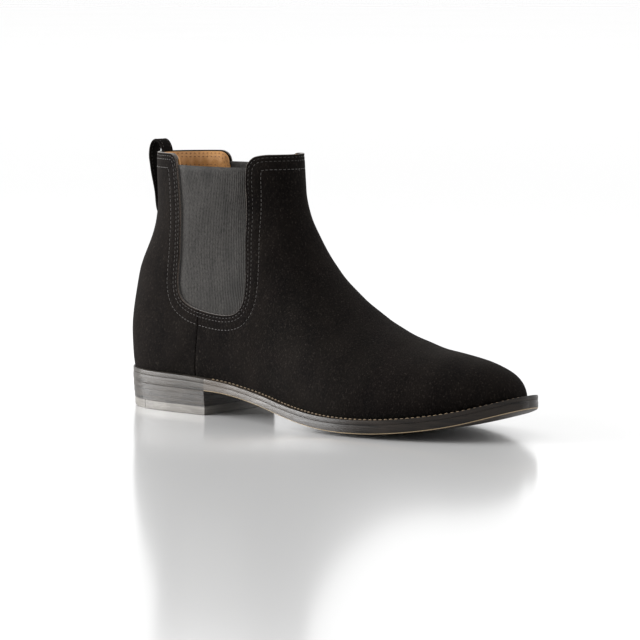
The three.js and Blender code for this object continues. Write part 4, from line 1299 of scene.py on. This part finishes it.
def make_welt():
    """Welt, stitched to the outsole from one side of the heel breast round the toe to the other."""
    def low(x, y):
        return sole_top(x) - WELT_THICKNESS

    def high(x, y):
        return sole_top(x)
    welt = slab("welt_strip", ring_border(HEEL_LENGTH + BREAST_GAP, AHEAD), low, high, 2.4,
                [finish("sole_edge")], WALL_BELLY)
    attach(bevelled(welt, size("edge_bevel")), "root")
    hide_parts("welt")
    rand = slab("rand_strip", ring_border(BEHIND, HEEL_LENGTH - BREAST_GAP), low, high, 2.4,
                [finish("heel_edge")], WALL_BELLY)
    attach(bevelled(rand, size("edge_bevel")), "root")
    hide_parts("heel_rand")
    inset = plan(size("welt_stitch_inset"))
    ahead = np.nonzero(inset[:, 0] > HEEL_LENGTH + 2)[0]
    line = resampled(inset[ahead[0]:ahead[-1] + 1], 0.8)
    top = np.column_stack([line, sole_top(line[:, 0])])
    stops = np.linspace(60, 300, 481)
    tilt = np.interp(line[:, 0], stops, np.gradient(sole_top(stops), 0.5))
    out = np.column_stack([-tilt, np.zeros(len(line)), np.ones(len(line))])
    out /= np.linalg.norm(out, axis=1, keepdims=True)
    stitches = sewn("welt_stitching", [(top, out)], size("welt_stitch_pitch"), size("welt_thread"), 0.74,
                    finish("welt_thread"))
    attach(stitches, "root")


def make_outsole():
    """Leather outsole: inked edge, stained tread that hangs lower in the middle of the forepart."""
    loop = plan()
    upper_half = loop[:len(loop) // 2 + 1]
    lower_half = loop[len(loop) // 2:][::-1]

    def middle_and_half(x):
        outer = np.interp(x, np.maximum.accumulate(upper_half[:, 0]), upper_half[:, 1])
        inner = np.interp(x, np.maximum.accumulate(lower_half[:, 0]), lower_half[:, 1])
        return (outer + inner) / 2, np.maximum((inner - outer) / 2, 1)

    def low(x, y):
        middle, half = middle_and_half(x)
        share = np.clip(np.abs(y - middle) / half, 0, 1)
        return sole_under(x) - profile(TREAD_CROWN, x) * (1 - share ** 1.6)

    def high(x, y):
        return sole_top(x) - WELT_THICKNESS - 2 * LAYER_GAP
    piece = slab("sole_bend", loop, low, high, 3.2,
                 [finish("sole_edge"), finish("sole_edge"), finish("tread")], SOLE_BELLY)
    piece.data.materials.append(finish("bare"))
    piece.data.materials.append(finish("heel_edge"))
    inked, bare, with_lifts = 0, 3, 4
    bevelled(piece, size("edge_bevel"), material=bare)
    # The iron leaves the lower corner of the edge bare, so it shows the leather's own colour. Over the heel
    # the edge is inked with the lifts.
    breast = row_point(HEEL_LENGTH, 0)[0]
    for face in piece.data.polygons:
        if face.center.x < breast and abs(face.normal.z) < 0.95:
            face.material_index = with_lifts
        elif face.material_index == bare and face.normal.z > -0.2:
            face.material_index = inked
    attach(piece, "root")
    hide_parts("outsole")


def heel_inset(z):
    """How far the heel is drawn in at a height; it tapers down from the sole."""
    return HEEL_TAPER * (1 - z / sole_under(np.array([HEEL_LENGTH]))[0])


def make_heel():
    """Stacked heel: three leather lifts, a leather top piece and a ribbed rubber tip bevelled at the back."""
    def at(height):
        return lambda x, y: np.full(len(x), float(height))

    def under_sole(x, y):
        return sole_under(x) - LAYER_GAP
    for i in range(LIFTS):
        low = TOP_PIECE + CLEARANCE / 2 + i * (LIFT + CLEARANCE) + LAYER_GAP / 2
        high = under_sole if i == LIFTS - 1 else at(low + LIFT + CLEARANCE - LAYER_GAP)
        border = cut_across(plan(heel_inset(low + LIFT / 2)), BEHIND, HEEL_LENGTH)
        lift = slab(f"heel_stack_lift_{i + 1}", border, at(low), high, 4, [finish("heel_edge")], HEEL_BELLY)
        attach(bevelled(lift, 0.05, 1), "root")
        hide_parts(f"heel_lift_{i + 1}")
    top = TOP_PIECE + CLEARANCE / 2 - 1.5 * LAYER_GAP
    border = plan(heel_inset(TOP_PIECE / 2))
    leather = slab("heel_wearing_leather", cut_across(border, RUBBER_LENGTH + 0.1, HEEL_LENGTH),
                   at(LAYER_GAP), at(top), 4,
                   [finish("top_piece"), finish("top_piece"), finish("tread")], HEEL_BELLY)
    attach(bevelled(leather, 0.3, 3), "root")
    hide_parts("heel_top_piece")

    def tread(x, y):
        """Under side of the rubber: the bevel at the back, with ribs that run forward."""
        rise = HEEL_BEVEL_RISE * np.maximum(0, 1 - x / HEEL_BEVEL_LENGTH)
        rib = RUBBER_RIB * smoothstep(0.5 + 1.2 * np.sin(2 * np.pi * y / RUBBER_RIB_PITCH))
        return LAYER_GAP + rise + rib * smoothstep((HEEL_BEVEL_LENGTH + 6 - x) / 4)
    rubber = slab("heel_rubber_tip", cut_across(border, BEHIND, RUBBER_LENGTH), tread, at(top), 0.8,
                  [finish("top_piece"), finish("rubber"), finish("rubber")], HEEL_BELLY)
    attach(bevelled(rubber, 0.25, 2, 60), "root")
    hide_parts("heel_top_rubber")


def dress_hidden():
    """Finishes of the pieces inside the boot, which keep their own shape."""
    looks = {"insole": "board", "sock_lining": "lining", "cork_filler": "cork", "shank": "steel",
             "gemming_rib": "drill", "toe_puff": "stiffener", "heel_counter": "stiffener"}
    looks.update({f"heel_nail_{i}": "brass" for i in range(1, 7)})
    for name, look in looks.items():
        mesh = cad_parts[name].data
        mesh.materials.clear()
        mesh.materials.append(finish(look))


# ---------------------------------------------------------------- stage
def view_axes(azimuth, elevation):
    """Toward the eye, to its right and up, for a place to look from; 0 degrees is the boot's outer side."""
    a, e = math.radians(azimuth), math.radians(elevation)
    back = Vector((math.sin(a) * math.cos(e), -math.cos(a) * math.cos(e), math.sin(e)))
    right = Vector((math.cos(a), math.sin(a), 0))
    return back, right, back.cross(right)


def make_camera():
    """Camera two metres off, a little above the boot and well to its outer side."""
    back, right, up = view_axes(41.06, 5.4)
    middle = Vector(row_point(112, 87))
    data = bpy.data.cameras.new("Camera")
    data.lens = 185.6
    data.sensor_width = 36
    data.dof.use_dof = False
    data.clip_end = 200
    camera = bpy.data.objects.new("Camera", data)
    bpy.context.scene.collection.objects.link(camera)
    camera.location = middle + back * 2.04
    aim = middle + right * 0.0251 - up * 0.0278
    camera.rotation_mode = "QUATERNION"
    camera.rotation_quaternion = (aim - camera.location).to_track_quat("-Z", "Y")
    bpy.context.scene.camera = camera


def softbox(name, azimuth, elevation, distance, width, height, watts):
    """A white softbox that looks at the boot's middle."""
    back, _, _ = view_axes(azimuth, elevation)
    data = bpy.data.lights.new(name, "AREA")
    data.shape = "RECTANGLE"
    data.size, data.size_y = width, height
    data.energy = watts
    light = bpy.data.objects.new(name, data)
    light.location = Vector((0, 0, 0.08)) + back * distance
    light.rotation_mode = "QUATERNION"
    light.rotation_quaternion = (-back).to_track_quat("-Z", "Y")
    bpy.context.scene.collection.objects.link(light)


def make_stage():
    """Pale glossy table, soft white surroundings and softboxes."""
    material, tree, shader = new_material("Polished acrylic table", {
        "Roughness": 0.3, "Specular IOR Level": 0.5, "Coat Weight": 1.0, "Coat Roughness": 0.14})
    place = node(tree, "ShaderNodeTexCoord")
    # Haze in the sheet, in clouds 0.9 m across.
    haze = node(tree, "ShaderNodeTexNoise", {"Vector": (place, "Object"), "Scale": 1 / 0.9, "Detail": 1,
                                             "Roughness": 0.5})
    shade = node(tree, "ShaderNodeMix", {SHARE: (haze, 0), FIRST: linear("#c4c4c4"),
                                         SECOND: linear("#cacaca")}, data_type="RGBA")
    tree.links.new(shade.outputs[MIXED], shader.inputs["Base Color"])
    count, radius = 96, 60
    turns = [2 * math.pi * i / count for i in range(count)]
    rim = [(radius * math.cos(turn), radius * math.sin(turn), 0) for turn in turns]
    mesh = bpy.data.meshes.new("Table")
    mesh.from_pydata(rim, [], [tuple(range(count))])
    mesh.materials.append(material)
    floor = bpy.data.objects.new("Table", mesh)
    bpy.context.scene.collection.objects.link(floor)
    world = bpy.data.worlds.new("Studio")
    world.use_nodes = True
    world.node_tree.nodes["Background"].inputs["Color"].default_value = linear("#ffffff")
    world.node_tree.nodes["Background"].inputs["Strength"].default_value = 1.08
    bpy.context.scene.world = world
    bpy.context.scene.view_settings.view_transform = "Standard"
    softbox("Key softbox", -55, 14, 1.6, 1.2, 0.9, 64)
    softbox("Top softbox", 20, 80, 1.5, 1.2, 1.2, 5)
    softbox("Rim softbox", 130, 25, 1.6, 0.8, 1.2, 14)


# ---------------------------------------------------------------- operators and panel
class BOOT_OT_front(Operator):
    """Cut and last the suede front, from the toe to the top of the shaft"""
    bl_idname = "boot.front"
    bl_label = "Front"

    def execute(self, context):
        make_front()
        return {"FINISHED"}


class BOOT_OT_quarters(Operator):
    """Cut and last the two suede quarters"""
    bl_idname = "boot.quarters"
    bl_label = "Quarters"

    def execute(self, context):
        make_quarters()
        return {"FINISHED"}


class BOOT_OT_linings(Operator):
    """Line the upper with drill and calf"""
    bl_idname = "boot.linings"
    bl_label = "Linings"

    def execute(self, context):
        make_linings()
        return {"FINISHED"}


class BOOT_OT_gores(Operator):
    """Weave the elastic gores"""
    bl_idname = "boot.gores"
    bl_label = "Gores"

    def execute(self, context):
        make_gores()
        return {"FINISHED"}


class BOOT_OT_stitching(Operator):
    """Sew the rows round the top edge and the gores"""
    bl_idname = "boot.stitching"
    bl_label = "Stitching"

    def execute(self, context):
        make_stitching()
        return {"FINISHED"}


class BOOT_OT_pull_tab(Operator):
    """Fold and sew the pull tab"""
    bl_idname = "boot.pull_tab"
    bl_label = "Pull tab"

    def execute(self, context):
        make_pull_tab()
        return {"FINISHED"}


class BOOT_OT_welt(Operator):
    """Lay the welt and the heel rand, and stitch the welt"""
    bl_idname = "boot.welt"
    bl_label = "Welt and rand"

    def execute(self, context):
        make_welt()
        return {"FINISHED"}


class BOOT_OT_outsole(Operator):
    """Shape and finish the leather outsole"""
    bl_idname = "boot.outsole"
    bl_label = "Outsole"

    def execute(self, context):
        make_outsole()
        return {"FINISHED"}


class BOOT_OT_heel(Operator):
    """Stack the heel's lifts, top piece and rubber tip"""
    bl_idname = "boot.heel"
    bl_label = "Heel"

    def execute(self, context):
        make_heel()
        return {"FINISHED"}


class BOOT_OT_hidden(Operator):
    """Give the pieces inside the boot their finishes"""
    bl_idname = "boot.hidden"
    bl_label = "Inner pieces"

    def execute(self, context):
        dress_hidden()
        return {"FINISHED"}


class BOOT_OT_stage(Operator):
    """Set up the table, the lights and the camera"""
    bl_idname = "boot.stage"
    bl_label = "Stage"

    def execute(self, context):
        make_camera()
        make_stage()
        return {"FINISHED"}


MAKERS = (BOOT_OT_stage, BOOT_OT_front, BOOT_OT_quarters, BOOT_OT_linings, BOOT_OT_gores, BOOT_OT_stitching,
          BOOT_OT_pull_tab, BOOT_OT_welt, BOOT_OT_outsole, BOOT_OT_heel, BOOT_OT_hidden)


class BOOT_PT_panel(Panel):
    """Lists the boot's makers, sizes and colours"""
    bl_idname = "BOOT_PT_panel"
    bl_label = "Chelsea boot"
    bl_space_type = "VIEW_3D"
    bl_region_type = "UI"
    bl_category = "Boot"

    def draw(self, context):
        for maker in MAKERS:
            self.layout.operator(maker.bl_idname)
        for group in (context.scene.boot_sizes, context.scene.boot_colours):
            for name in group.__annotations__:
                self.layout.prop(group, name)


CLASSES = (BootSizes, BootColours, *MAKERS, BOOT_PT_panel)


def register():
    for item in CLASSES:
        bpy.utils.register_class(item)
    bpy.types.Scene.boot_sizes = PointerProperty(type=BootSizes)
    bpy.types.Scene.boot_colours = PointerProperty(type=BootColours)


def unregister():
    del bpy.types.Scene.boot_colours
    del bpy.types.Scene.boot_sizes
    for item in reversed(CLASSES):
        bpy.utils.unregister_class(item)


def main():
    register()
    for maker in MAKERS:
        group, name = maker.bl_idname.split(".")
        getattr(getattr(bpy.ops, group), name)()


if __name__ == "__main__":
    main()
